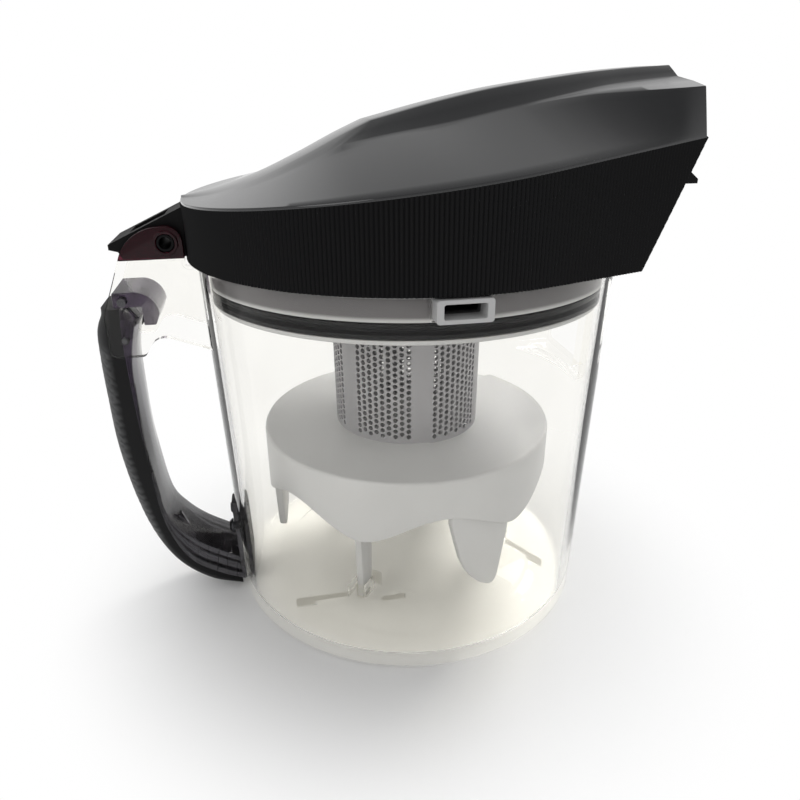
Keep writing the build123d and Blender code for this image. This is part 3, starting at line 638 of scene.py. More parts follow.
def grip_finish(look, group):
    """Black plastic with painted sheen: lighter where the piece's own attribute says so, on the outward face and most
    on the stud tops.
    """
    tree, shader, shade = moulded("grip_plastic", group)
    painted_sheen = put(tree, "ShaderNodeAttribute", attribute_name="painted_sheen")
    colour_in(tree, shader, blend(tree, painted_sheen.outputs["Fac"], rgba(look.black), rgba(look.grip)), shade)


def ring_finish(look, group):
    """Light grey plastic; the ring's thin band gets painted shade where the dark lid would show through, more towards
    its top.
    """
    tree, shader, shade = moulded("light_grey_plastic", group)
    x, y, z = axes_of(tree, place_in(tree))
    square = math(tree, "ADD", product(tree, x, x), product(tree, y, y))
    # Mask of the band's painted shade.
    band = product(tree, stretch(tree, z, PAINTED_SHADE_LOW), stretch(tree, z, PAINTED_SHADE_HIGH, 1.0, 0.0),
                   math(tree, "LESS_THAN", square, PAINTED_SHADE_RADII[1] ** 2),
                   math(tree, "GREATER_THAN", square, PAINTED_SHADE_RADII[0] ** 2))
    colour_in(tree, shader, blend(tree, band, rgba(look.light_grey), rgba(look.band_painted_shade)), shade)


class BIN_OT_finishes(Operator):
    """Builds the finishes and gives them to the solids that stay in view"""
    bl_idname = "dustbin.finishes"
    bl_label = "Finishes"

    extras = {"gloss_cover": {"Coat_Weight": 0.5, "Coat_Roughness": 0.04}, "steel": {"Metallic": 1.0}}

    def execute(self, context):
        look = context.scene.bin_finish
        group = moulded_group()
        scuffs = scuff_group()
        clear_finish(look, group, scuffs)
        smoked_finish(look, group, scuffs)
        grip_finish(look, group)
        ring_finish(look, group)
        for name, key in PLAIN.items():
            tree, shader, shade = moulded(name, group)
            colour_in(tree, shader, rgba(getattr(look, key)), shade)
            give(tree, shader, **self.extras.get(name, {}))
        for part in frame["record"]["subparts"]:
            solid = frame["nodes"][part["node"]]
            solid.data.materials.clear()
            solid.data.materials.append(bpy.data.materials[part["material_slot"]])
        return {"FINISHED"}


# Dust cup

# Hinge axis as x and z; the cheeks' inner and outer face; the keeps' half width, low and high edge.
HINGE = (-88.8, 152.7)
EAR_RADIUS = 5.8
EAR_FOOT = 147.2
EAR_ROOM = ((-120, -78), (-30, 30))
CHEEK = (14.0, 17.0)
CHEEK_PADS = ((-91.7, 142.7), (-84.9, 138.9))
PAD_RADIUS = 2.8
COLLAR_RADIUS = 4.3
PAD_HEIGHT = 3.4
PAD_EDGE = 0.3
PIN_RADIUS = 3.1
PIN_GAP = 0.1
INLET_X = (55.0, 84.0)
INLET_LOW = (-10.0, 82.0)
INLET_HIGH = (44.0, 127.0)
INLET_WALL = 5.0
SOCKET = (8.75, 137.6, 144.9)
SOCKET_GAP = 0.3
SOCKET_SIDES = (-95, 60)
SOCKET_REACH = 35
FIN_ANGLES = (-128.0, -8.0, 112.0)
FIN_RADIUS = 40.5
BOSS_HALF = (7.0, 4.5)
BOSS_HEIGHT = 7.0
BOSS_SLOT = (4.1, 1.8)
RIB_HEIGHT = 2.6
FLOOR_RIBS = (((-54.0, -32.0), (-34.5, -33.0)), ((-19.0, -9.0), (-40.0, -39.0)))


def cup_radius(cup, z):
    """Outer radius of the drafted cup in millimetres."""
    return (cup.base_radius + (cup.rim_radius - cup.base_radius) * z * MM / cup.height) / MM


def cup_solid(name, cup, offset, low, high):
    """Full drafted body of the cup between two heights, grown by an offset."""
    return spun(name, [(0, low), (cup_radius(cup, low) + offset, low), (cup_radius(cup, high) + offset, high),
                       (0, high)], cup.segments, open_axis=True)


def fin_block(name, half, z):
    """Block round the place of a fin, before it is turned to the fin's angle."""
    return block(name, (FIN_RADIUS - half[0], FIN_RADIUS + half[0]), (-half[1], half[1]), z)


def three_point_arc(a, b, c, steps):
    """Points on the arc from a through b to c."""
    ax, ay, bx, by, cx, cy = *a, *b, *c
    d = 2 * (ax * (by - cy) + bx * (cy - ay) + cx * (ay - by))
    a2, b2, c2 = ax * ax + ay * ay, bx * bx + by * by, cx * cx + cy * cy
    ux = (a2 * (by - cy) + b2 * (cy - ay) + c2 * (ay - by)) / d
    uy = (a2 * (cx - bx) + b2 * (ax - cx) + c2 * (bx - ax)) / d
    start = atan2(ay - uy, ax - ux)
    middle = (atan2(by - uy, bx - ux) - start) % (2 * pi)
    swing = (atan2(cy - uy, cx - ux) - start) % (2 * pi)
    if middle > swing:
        swing -= 2 * pi
    radius = Vector((ax - ux, ay - uy)).length
    return [(ux + radius * cos(start + swing * i / steps), uy + radius * sin(start + swing * i / steps))
            for i in range(steps + 1)]


def cheek_outline():
    hx, hz = HINGE
    tangent = (-90.62, 158.21)
    outline = three_point_arc((hx + EAR_RADIUS, hz), (hx + EAR_RADIUS * 0.5, hz + EAR_RADIUS * sqrt(0.75)),
                              tangent, 14)
    outline += three_point_arc(tangent, (-100.8, 154.3), (-105.4, 147.2), 14)[1:]
    lower = [(-109.0, 138.0, 8.0), (-113.0, 128.0, 8.0), (-113.0, 112.0, 2.0), (-101.0, 112.0, 2.0),
             (-96.0, 120.0, 6.0), (-75.0, 112.0, 0.0), (-75.0, 143.5, 0.0), (hx + EAR_RADIUS, 144.5, 0.6)]
    return outline + rounded([outline[-1] + (0,)] + lower + [outline[0] + (0,)], 0)[1:-1]


class BIN_OT_dust_cup(Operator):
    """Clear cup with its floor, inlet port, hinge cheeks and foot bosses"""
    bl_idname = "dustbin.dust_cup"
    bl_label = "Dust cup"

    def execute(self, context):
        cup = context.scene.bin_cup
        base, rim, height = cup.base_radius / MM, cup.rim_radius / MM, cup.height / MM
        wall, floor = cup.wall / MM, cup.floor / MM
        step_radius, step_top = cup.step_radius / MM, (cup.floor + cup.step_height) / MM
        profile = rounded([(0, 0), (base, 0, 1.8), (rim, height, 0.9), (rim - wall, height, 0.9),
                           (cup_radius(cup, floor) - wall, floor, 4.5), (step_radius, floor, 0.8),
                           (step_radius, step_top, 0.7), (0, step_top)], 0, 5)
        body = spun("dust_cup_clear", profile, cup.segments, open_axis=True)
        fittings = prism_x("inlet", rectangle(INLET_LOW, INLET_HIGH, 4.0), *INLET_X)
        cheek = prism_y("cheek", cheek_outline(), *CHEEK)
        face = CHEEK[0] + 0.1
        for x, z in CHEEK_PADS:
            unite(cheek, rod_y("pad", PAD_RADIUS, PAD_HEIGHT, (x, face, z), 28, PAD_EDGE))
        unite(cheek, rod_y("collar", COLLAR_RADIUS, PAD_HEIGHT, (HINGE[0], face, HINGE[1]), 40, PAD_EDGE))
        cut(cheek, rod_y("bore", PIN_RADIUS + PIN_GAP, 20, (HINGE[0], CHEEK[0] - 5, HINGE[1]), 40))
        far = copy_of(cheek, "far_cheek")
        far.data.transform(Matrix.Scale(-1, 4, (0, 1, 0)))
        edit(far)
        close_edit()
        unite(fittings, cheek)
        unite(fittings, far)
        cut(fittings, cup_solid("hollow", cup, -wall / 2, 20, 170))
        ears = copy_of(fittings, "hinge_ears_tinted")
        combine(ears, block("ear_room", *EAR_ROOM, (EAR_FOOT, 175)), "INTERSECT")
        cut(fittings, block("ear_room", *EAR_ROOM, (EAR_FOOT - 0.02, 175)))
        unite(body, fittings)
        low = [side + INLET_WALL for side in INLET_LOW]
        high = [side - INLET_WALL for side in INLET_HIGH]
        cut(body, prism_x("passage", rectangle(low, high, 2.5), INLET_X[0] - 5, INLET_X[1] + 6))
        half = SOCKET[0] + SOCKET_GAP
        for side in SOCKET_SIDES:
            cut(body, block("notch", (-half, half), (side, side + SOCKET_REACH), (SOCKET[1] - SOCKET_GAP, 160)))
        for angle in FIN_ANGLES:
            boss = fin_block("boss", BOSS_HALF, (2.0, step_top + BOSS_HEIGHT))
            cut(boss, fin_block("slot", BOSS_SLOT, (step_top, 30)))
            soften(boss, 0.5)
            turn(boss, angle)
            unite(body, boss)
            for x, y in FLOOR_RIBS:
                rib = block("floor_rib", x, y, (3.5, step_top + RIB_HEIGHT))
                soften(rib, 0.4)
                turn(rib, angle - FIN_ANGLES[0])
                unite(body, rib)
        settle(body, "bin", "clear_plastic", ["dust_cup"])
        soften(ears, 0.35, 2, 50.0)
        settle(ears, "bin", "smoked_plastic", [])
        return {"FINISHED"}


# Cyclone insert


class BIN_OT_insert_ring(Operator):
    """Ring, web and neck of the insert, with its double-lip seal and the two keeps"""
    bl_idname = "dustbin.insert_ring"
    bl_label = "Insert ring"

    seal_seat = (130.4, 136.2)
    seat_radius = 73.2
    web = 2.0
    band_wall = 2.4
    top = 144.2
    neck = (31.5, 34.0)
    neck_top = 143.7
    throat = 27.0

    def execute(self, context):
        insert = context.scene.bin_insert
        segments = context.scene.bin_cup.segments
        outer = insert.ring_radius / MM
        low = insert.low / MM
        groove, shelf = self.seal_seat
        seat, top, inside = self.seat_radius, self.top, outer - self.band_wall
        web = low + self.web
        ring = spun("insert_ring_band", rounded([
            (self.throat, low), (outer - 1.0, low, 0.5), (outer - 1.0, groove), (seat, groove), (seat, shelf),
            (outer, shelf, 0.5), (outer, top, 0.6), (inside, top, 0.6), (inside, shelf + 1.0),
            (seat - 2.0, shelf - 1.5), (seat - 2.0, web, 1.0), (self.neck[1], web, 1.0),
            (self.neck[1], self.neck_top, 0.6), (self.neck[0], self.neck_top, 0.6), (self.neck[0], web),
            (self.throat, web)], 0.2, 3), segments)
        half = SOCKET[0]
        for side in SOCKET_SIDES:
            cut(ring, block("mouth", (-half, half), (side, side + SOCKET_REACH), (SOCKET[1], 160)))
        settle(ring, "bin", "light_grey_plastic", ["insert_ring"])
        tip = outer - 0.1
        root = tip - 1.6
        middle = (groove + shelf) / 2
        seal = spun("lip_seal_rubber", rounded([
            (seat + 0.05, groove + 0.05), (root, groove + 0.05, 0.2), (tip, groove + 0.5, 0.4),
            (tip, groove + 1.9, 0.4), (root, middle - 0.3, 0.25), (root, middle + 0.3, 0.25),
            (tip, shelf - 1.9, 0.4), (tip, shelf - 0.5, 0.4), (root, shelf - 0.05, 0.2),
            (seat + 0.05, shelf - 0.05)], 0, 4), segments)
        settle(seal, "bin", "black_rubber", ["lip_seal"])
        near = prism_y("side_keeps", rectangle((-half, SOCKET[1]), (half, SOCKET[2]), 1.0), -84.0, -74.0)
        cut(near, prism_y("mouth", rectangle((-6.5, SOCKET[1] + 1.4), (6.5, SOCKET[2] - 1.4), 0.6), -90.0, -70.0))
        soften(near, 0.3, 2, 50.0)
        far = copy_of(near, "far_keep")
        turn(far, 180)
        joined([near, far])
        settle(near, "bin", "light_grey_plastic", ["side_sockets"], flat_faces=True)
        return {"FINISHED"}


class BIN_OT_shroud(Operator):
    """Shroud with six panels of staggered holes"""
    bl_idname = "dustbin.shroud"
    bl_label = "Shroud"

    panels = 6
    panel_span = 45.0
    strip_columns = 6
    edge_points = 4
    hole_points = 12
    margin = 1.6
    first_panel = -60.0

    def hole_cell(self, name, width, height, radius):
        """Flat cell with one round hole; its sides carry a middle point so that staggered columns meet."""
        deselect_all()
        count = self.hole_points
        bpy.ops.mesh.primitive_circle_add(vertices=count, radius=radius * MM, fill_type="NOTHING")
        cell = named(name)
        edit(cell)
        bpy.ops.mesh.extrude_edges_move(TRANSFORM_OT_translate={"value": (0, 0, 0)})
        bpy.ops.object.mode_set(mode="OBJECT")
        half_x, half_y = width / 2, height / 2
        steps = self.edge_points
        rim = [(half_x - width * i / steps, half_y) for i in range(steps)]
        rim += [(-half_x, half_y), (-half_x, 0)]
        rim += [(-half_x + width * i / steps, -half_y) for i in range(steps)]
        rim += [(half_x, -half_y), (half_x, 0)]
        mesh = cell.data
        picked = [v.index for v in mesh.vertices if v.select]
        inner = [v.index for v in mesh.vertices if not v.select]
        turns = [atan2(y, x) for x, y in rim]
        start = atan2(mesh.vertices[picked[0]].co.y, mesh.vertices[picked[0]].co.x)
        first = min(range(count), key=lambda i: abs((turns[i] - start + pi) % (2 * pi) - pi))
        for ring in (picked, inner):
            ring.sort(key=lambda i: (atan2(mesh.vertices[i].co.y, mesh.vertices[i].co.x) - start + 1e-4) % (2 * pi))
        for k in range(count):
            x, y = rim[(first + k) % count]
            mesh.vertices[picked[k]].co = (x * MM, y * MM, 0)
            a = start + 2 * pi * k / count
            mesh.vertices[inner[k]].co = (radius * cos(a) * MM, radius * sin(a) * MM, 0)
        return cell

    def array(self, piece, count, step):
        modify(piece, "ARRAY", count=count, use_relative_offset=False, use_constant_offset=True,
               constant_offset_displace=Vector(step) * MM)

    def execute(self, context):
        insert = context.scene.bin_insert
        low, high = insert.shroud_low / MM, insert.low / MM
        radius = insert.shroud_radius / MM
        top_radius = insert.shroud_top_radius / MM
        rows, columns = insert.hole_rows, insert.hole_columns
        turn_round = 2 * pi * radius
        panel = turn_round * self.panel_span / 360.0
        strip = turn_round / self.panels - panel
        width = panel / columns
        margin = self.margin
        pitch = (high - low - 2 * margin) / (rows + 0.5)
        parts = []
        for odd in (0, 1):
            count = (columns + 1 - odd) // 2
            lift = low + margin + pitch * (0.5 + 0.5 * odd)
            cell = self.hole_cell("cells", width, pitch, insert.hole_diameter / MM / 2)
            cell.data.transform(Matrix.Translation(Vector((width * (0.5 + odd), lift, 0)) * MM))
            self.array(cell, rows, (0, pitch, 0))
            self.array(cell, count, (2 * width, 0, 0))
            parts.append(cell)
            end_z = low + margin + (rows * pitch if odd == 0 else 0.0)
            for i in range(count):
                x = width * (2 * i + odd)
                parts.append(self.sheet(x, end_z, width, pitch / 2, self.edge_points, 1))
        for z in (low, high - margin):
            parts.append(self.sheet(0, z, panel, margin, columns * self.edge_points, 1))
            parts.append(self.sheet(panel, z, strip, margin, self.strip_columns, 1))
        parts.append(self.sheet(panel, low + margin, strip, high - low - 2 * margin, self.strip_columns,
                                2 * rows + 1))
        joined(parts)
        shroud = named("shroud_perforated")
        self.array(shroud, self.panels, (panel + strip, 0, 0))
        start = radians(self.first_panel - self.panel_span / 2)
        for vertex in shroud.data.vertices:
            along, z = vertex.co.x / MM, vertex.co.y / MM
            a = start + along / radius
            r = radius + (top_radius - radius) * (z - low) / (high - low)
            vertex.co = Vector((r * cos(a), r * sin(a), z)) * MM
        edit(shroud)
        bpy.ops.mesh.remove_doubles(threshold=0.00002)
        bpy.ops.mesh.normals_make_consistent(inside=False)
        bpy.ops.object.mode_set(mode="OBJECT")
        middle = shroud.data.polygons[0]
        if middle.normal.dot(Vector((middle.center.x, middle.center.y, 0))) < 0:
            edit(shroud)
            bpy.ops.mesh.flip_normals()
            bpy.ops.object.mode_set(mode="OBJECT")
        modify(shroud, "SOLIDIFY", thickness=insert.shroud_wall, offset=-1.0)
        settle(shroud, "bin", "mid_grey_plastic", ["shroud"], smooth=35.0)
        return {"FINISHED"}

    def sheet(self, x, y, width, height, across, up):
        deselect_all()
        bpy.ops.mesh.primitive_grid_add(x_subdivisions=across, y_subdivisions=up, size=1.0)
        piece = named("plain")
        for vertex in piece.data.vertices:
            vertex.co = Vector((x + (vertex.co.x + 0.5) * width, y + (vertex.co.y + 0.5) * height, 0)) * MM
        return piece


class BIN_OT_dust_skirt(Operator):
    """Skirt disc with its wavy band, three legs and three standing fins"""
    bl_idname = "dustbin.dust_skirt"
    bl_label = "Dust skirt"

    lobes = 6
    lobe_angle = -118.0
    wave_power = 0.85
    wall = 2.0
    segments = 240
    leg_angles = (-70.0, 50.0, 170.0)
    leg_faces = (55.7, 58.7)
    leg_outline = [(-16.5, 52.0), (-14.3, 43.6), (-12.0, 35.6), (-9.2, 29.4), (-5.9, 24.6), (-1.9, 20.8), (1.6, 18.8),
                   (4.0, 18.4), (5.6, 19.8), (6.7, 23.0), (7.8, 28.6), (9.0, 35.7), (10.3, 42.0)]
    fin_foot = 4.8

    def execute(self, context):
        insert = context.scene.bin_insert
        top = insert.shroud_low / MM
        low = insert.skirt_low / MM
        outer = insert.skirt_radius / MM
        wall = self.wall
        profile = rounded([(0, top - wall), (outer - wall, top - wall, 1.0), (outer - wall, low, 0.6),
                           (outer, low, 0.6), (outer, top, 1.4), (0, top)], 0, 4)
        skirt = spun("dust_skirt_band", profile, self.segments, open_axis=True)
        rise = insert.wave_height / MM
        for vertex in skirt.data.vertices:
            point = vertex.co / MM
            if point.z < top - wall - 1.5 and Vector((point.x, point.y)).length > outer - wall - 1.0:
                a = atan2(point.y, point.x) - radians(self.lobe_angle)
                wave = (0.5 - 0.5 * cos(self.lobes * a)) ** self.wave_power
                share = (top - low - rise * wave) / (top - low)
                vertex.co.z = (top + (point.z - top) * share) * MM
        for angle in self.leg_angles:
            leg = prism_x("leg", self.leg_outline + [(12.0, top - 1.0), (-17.0, top - 1.0)],
                          *self.leg_faces)
            soften(leg, 0.5)
            turn(leg, angle)
            unite(skirt, leg)
        for angle in FIN_ANGLES:
            fin = prism_y("fin", rounded([
                (FIN_RADIUS - 3.5, self.fin_foot, 0.8), (FIN_RADIUS + 3.5, self.fin_foot, 0.8),
                (FIN_RADIUS + 6.0, top - 1.0, 0.0), (FIN_RADIUS - 6.0, top - 1.0, 0.0)], 0, 4), -1.5, 1.5)
            soften(fin, 0.4)
            turn(fin, angle)
            unite(skirt, fin)
        settle(skirt, "bin", "light_grey_plastic", ["dust_skirt"], smooth=35.0)
        return {"FINISHED"}


# Handle

GRIP_LINE = [(-115.5, 129.0), (-115.8, 126.4), (-117.6, 122.6), (-118.6, 118.5), (-119.0, 110.0), (-119.0, 96.0),
             (-118.1, 70.0), (-113.2, 41.0), (-104.1, 19.6), (-91.2, 6.8), (-82.0, 3.2), (-72.0, 1.0)]
SPLIT_LINE = [(-108.4, 129.0), (-109.1, 115.0), (-108.6, 90.0), (-107.3, 67.7), (-104.6, 38.0), (-97.0, 19.4),
              (-85.6, 10.2), (-72.0, 4.0)]
INNER_LINE = [(-103.6, 121.5), (-106.0, 111.0), (-106.9, 100.0), (-106.3, 77.0), (-105.2, 58.0), (-103.0, 42.5),
              (-98.2, 34.4), (-89.2, 25.8), (-72.0, 15.2)]
FLANGE = (1.0, 38.0)
FLANGE_SKIN = 1.8
FLANGE_SCREW = (7.5, 30.0)
FLANGE_SCREW_LENGTH = 3.6
CROSS_SCREW = (-108.2, 117.0)
CROSS_SCREW_LENGTH = 30.0
SCREW_HEAD = 3.0
SCREW_SHANK = 1.5
FRAME_TAB = [(-100.6, 34.8), (-99.4, 38.4), (-98.6, 38.2), (-96.4, 32.4), (-98.6, 31.8)]


class BIN_OT_handle(Operator):
    """Black studded grip, smoked frame with its flange, and the screws"""
    bl_idname = "dustbin.handle"
    bl_label = "Handle"

    grip_steps = 150
    frame_steps = 60
    outer_steps = 36
    stud_start = (14.0, 4.0)
    stud_end = (46.0, 6.0)
    stud_flank = 2.6
    # Painted sheen: how far a face must turn outward to get it, and its share off the stud tops.
    sheen_facing = (0.2, 0.45)
    plain_sheen = 0.25
    groove_line = [(0.0, 0), (0.22, 0), (0.30, 1), (0.48, 1), (0.55, 0.35), (0.64, 0.35), (0.71, 1), (0.86, 1),
                   (0.94, 0)]

    def grip_ring(self, outer, inner, along, length, handle):
        """Section of the grip: flat inside, rounded outer edges, studs on the outer face."""
        half = handle.half_width / MM
        depth = outer - inner
        thick = depth.length
        out = depth.normalized()
        corner = min(handle.edge_round / MM, thick * 0.72)
        section = [(0.0, half), (thick - corner, half)]
        section += [(thick - corner + corner * sin(a), half - corner + corner * cos(a))
                    for a in (radians(10 * k) for k in range(1, 9))]
        flat = half - corner
        count = self.outer_steps
        section += [(thick, flat - 2 * flat * k / count) for k in range(count + 1)]
        section += [(d, -y) for d, y in reversed(section[:10])]
        made = []
        for d, y in section:
            if d > thick - 0.85 * corner:
                level, fade = self.stud_level(along, y, length, handle)
                d += handle.stud_height / MM * fade * (level - 1.0)
            place = inner + out * d
            made.append((place.x, y, place.y))
        return made

    def stud_level(self, along, y, length, handle):
        """Height of the studs, 0 in the grooves and 1 on the flats, and how far they are faded in."""
        pitch = handle.stud_pitch / MM
        first = abs(((along + y) / pitch) % 1.0 - 0.5) * 2
        second = abs(((along - y) / pitch) % 1.0 - 0.5) * 2
        run_in = (along - self.stud_start[0]) / self.stud_start[1]
        run_out = (length - self.stud_end[0] - along) / self.stud_end[1]
        fade = min(1.0, max(0.0, run_in), max(0.0, run_out))
        return min(1.0, self.stud_flank * min(first, second)), fade

    def mark_painted_sheen(self, grip, outer, length, handle):
        """Stores painted sheen on the outward face, most on the stud tops and least in their grooves."""
        painted_sheen = grip.data.attributes.new("painted_sheen", "FLOAT", "POINT")
        for vertex in grip.data.vertices:
            x, y, z = vertex.co / MM
            near = min(range(len(outer)), key=lambda i: (outer[i].x - x) ** 2 + (outer[i].y - z) ** 2)
            before, after = outer[max(near - 1, 0)], outer[min(near + 1, len(outer) - 1)]
            run = (after - before).normalized()
            facing = vertex.normal.x * run.y - vertex.normal.z * run.x
            level, fade = self.stud_level(length * near / self.grip_steps, y, length, handle)
            share = min(1.0, max(0.0, (abs(facing) - self.sheen_facing[0]) / self.sheen_facing[1]))
            outside = 1.0 if facing * (outer[near].x * run.y - outer[near].y * run.x) > 0 else 0.0
            painted_sheen.data[vertex.index].value = share * outside * (self.plain_sheen + (1 - self.plain_sheen) * fade * level)

    def frame_ring(self, outer, inner, half):
        """Section of the frame: two grooves on each side face and a chamfered inner face."""
        thick = (inner - outer).length
        flat = 1.0 - 1.1 / thick
        deep = min(1.5, 0.12 * thick)
        section = [(s * flat, half - d * deep) for s, d in self.groove_line]
        section += [(flat, half - 0.1), (flat + 0.3 * (1 - flat), half - 1.6), (1.0 - 0.12 * (1 - flat), 5.4),
                    (1.0, 4.4)]
        section += [(s, -y) for s, y in reversed(section)]
        places = [(outer.lerp(inner, s), y) for s, y in section]
        return [(place.x, y, place.y) for place, y in places]

    def execute(self, context):
        cup = context.scene.bin_cup
        handle = context.scene.bin_handle
        half = handle.half_width / MM
        outer = smooth_line(GRIP_LINE, self.grip_steps)
        split = smooth_line(SPLIT_LINE, self.grip_steps)
        length = sum((q - p).length for p, q in zip(outer, outer[1:]))
        rings = [self.grip_ring(p, q, length * i / self.grip_steps, length, handle)
                 for i, (p, q) in enumerate(zip(outer, split))]
        grip = skinned("handle_grip_studded", rings)
        cut(grip, cup_solid("cup_room", cup, FLANGE_SKIN + 0.3, -5, 60))
        # Painted sheen on the grip's outward face.
        self.mark_painted_sheen(grip, outer, length, handle)
        settle(grip, "bin", "black_plastic", ["handle_grip"], smooth=38.0, finish="grip_plastic")
        outer = smooth_line(SPLIT_LINE, self.frame_steps)
        inner = smooth_line(INNER_LINE, self.frame_steps)
        rings = [self.frame_ring(p, q, half) for p, q in zip(outer, inner)]
        bar = skinned("handle_frame_smoked", rings)
        cut(bar, cup_solid("cup_room", cup, FLANGE_SKIN / 2, -5, 60))
        flange = prism_x("flange", rectangle((-half, FLANGE[0]), (half, FLANGE[1]), 9.0, 8), -95, -55)
        combine(flange, cup_solid("flange_skin", cup, FLANGE_SKIN, -5, 60), "INTERSECT")
        unite(bar, flange)
        unite(bar, prism_y("tab", FRAME_TAB, -6.0, -4.6))
        cut(bar, cup_solid("cup_body", cup, 0.06, -10, 65))
        settle(bar, "bin", "smoked_plastic", ["handle_frame"], smooth=35.0)
        self.screws(cup)
        return {"FINISHED"}

    def screws(self, cup):
        y, z = FLANGE_SCREW
        face = -cup_radius(cup, z) - FLANGE_SKIN
        first = screw("handle_screws_zinc", FLANGE_SCREW_LENGTH)
        turn(first, 90, "Y", (face, -y, z))
        second = screw("flange_screw", FLANGE_SCREW_LENGTH)
        turn(second, 90, "Y", (face, y, z))
        third = screw("cross_screw", CROSS_SCREW_LENGTH)
        turn(third, 90, "X", (CROSS_SCREW[0], CHEEK[1], CROSS_SCREW[1]))
        joined([first, second, third])
        settle(first, "bin", "steel", ["handle_screws"])


def screw(name, length):
    """Round-headed screw with a cross recess; the head is below the origin and the shank rises."""
    profile = rounded([(0, -1.6), (2.0, -1.55, 0.4), (SCREW_HEAD, -0.5, 0.6), (SCREW_HEAD, 0, 0.1),
                       (SCREW_SHANK, 0), (SCREW_SHANK, length - 0.6), (0.9, length), (0, length)], 0, 4)
    piece = spun(name, profile, 32, open_axis=True)
    for wide, deep in ((1.7, 0.3), (0.3, 1.7)):
        cut(piece, block("recess", (-wide, wide), (-deep, deep), (-3.0, -0.8)))
    return piece


class BIN_OT_trigger(Operator):
    """Smoked quarter-round release trigger"""
    bl_idname = "dustbin.trigger"
    bl_label = "Release trigger"

    half_width = 12.6
    rear = [(-110.2, 129.6), (-110.2, 135.0)]
    front = [(-102.2, 135.0), (-96.85, 132.1), (-94.7, 126.6)]
    underside = [(-96.3, 122.6), (-100.5, 122.6), (-100.5, 129.6)]
    pin = (-106.6, 132.2)
    bore_radius = 1.56

    def execute(self, context):
        outline = self.rear + three_point_arc(*self.front, 12) + self.underside
        trigger = prism_y("release_trigger_smoked", outline, -self.half_width, self.half_width)
        cut(trigger, rod_y("bore", self.bore_radius, 40, (self.pin[0], -20, self.pin[1]), 24))
        soften(trigger, 0.5, 3, 50.0)
        settle(trigger, "trigger", "smoked_plastic", ["release_trigger"], flat_faces=True)
        return {"FINISHED"}


# Lid

# Lines of the cover from rear to nose, each point x, y, z. The hood starts at a slanted crease, where the lines
# of its foot and ridge turn. The shoulder rises out of the flank within the x of SHOULDER_RISE.
COVER_SHOULDER = [(5.0, 30.0, 195.4), (30.0, 27.4, 197.2), (41.0, 27.4, 198.0), (52.0, 31.0, 198.9),
                  (66.0, 42.5, 199.9), (74.0, 50.6, 200.4), (80.0, 55.0, 200.8), (86.0, 55.6, 201.2),
                  (92.0, 53.8, 201.6), (106.0, 48.7, 202.4)]
SHOULDER_RISE = (34.0, 60.0)
COVER_FOOT_REAR = [(-92.0, 24.0, 165.0), (-74.0, 24.0, 167.4), (-58.0, 24.0, 171.4), (-40.0, 24.0, 178.2),
                   (-27.2, 24.0, 184.1)]
COVER_FOOT_HOOD = [(-27.2, 24.0, 184.1), (-13.0, 24.0, 186.9), (10.0, 24.0, 190.8), (30.0, 24.0, 195.0),
                   (52.0, 24.0, 199.4), (66.0, 24.0, 202.1), (80.0, 23.0, 203.8), (106.0, 21.0, 206.2)]
COVER_FLANK_TOP = COVER_FOOT_REAR[:-1] + [(-27.2, 24.0, 183.6)] + COVER_FOOT_HOOD[1:]
COVER_RIDGE_REAR = [(-92.0, 14.0, 165.1), (-74.0, 14.0, 167.6), (-58.0, 14.0, 172.2), (-40.0, 14.0, 179.9),
                    (-25.0, 14.0, 187.2), (-15.2, 14.0, 191.5)]
COVER_RIDGE_HOOD = [(-15.2, 14.0, 191.5), (10.0, 14.0, 197.7), (30.0, 14.0, 201.8), (52.0, 14.0, 205.1),
                    (66.0, 14.5, 206.9), (80.0, 15.0, 208.2), (106.0, 14.0, 209.9)]
HOOD_START = -27.2
HOOD_SLANT = 12.0
HOOD_FADES = (43.0, 60.0)
FOOT_Y = 24.0
SLANT_SPAN = 10.0
RIDGE_SHARE = 0.30
FOOT_SHARE = 0.52
LEAST_FLANK = 12.0
SHOULDER_EDGE = 0.8

# The nose in plan is an arc from its middle's x to an x at half a width; both leans are in degrees.
NOSE_ARC = (83.5, 65.4, 65.0)
NOSE_LEAN = 23.5
COVER_LEAN = -10.0
BELT_NOSE_X = 82.8
COVER_LIP = 0.8
COVER_TOP = 209.25
NOSE_ROWS = (50.0, 100.0)
SETTLE_ROUNDS = 7


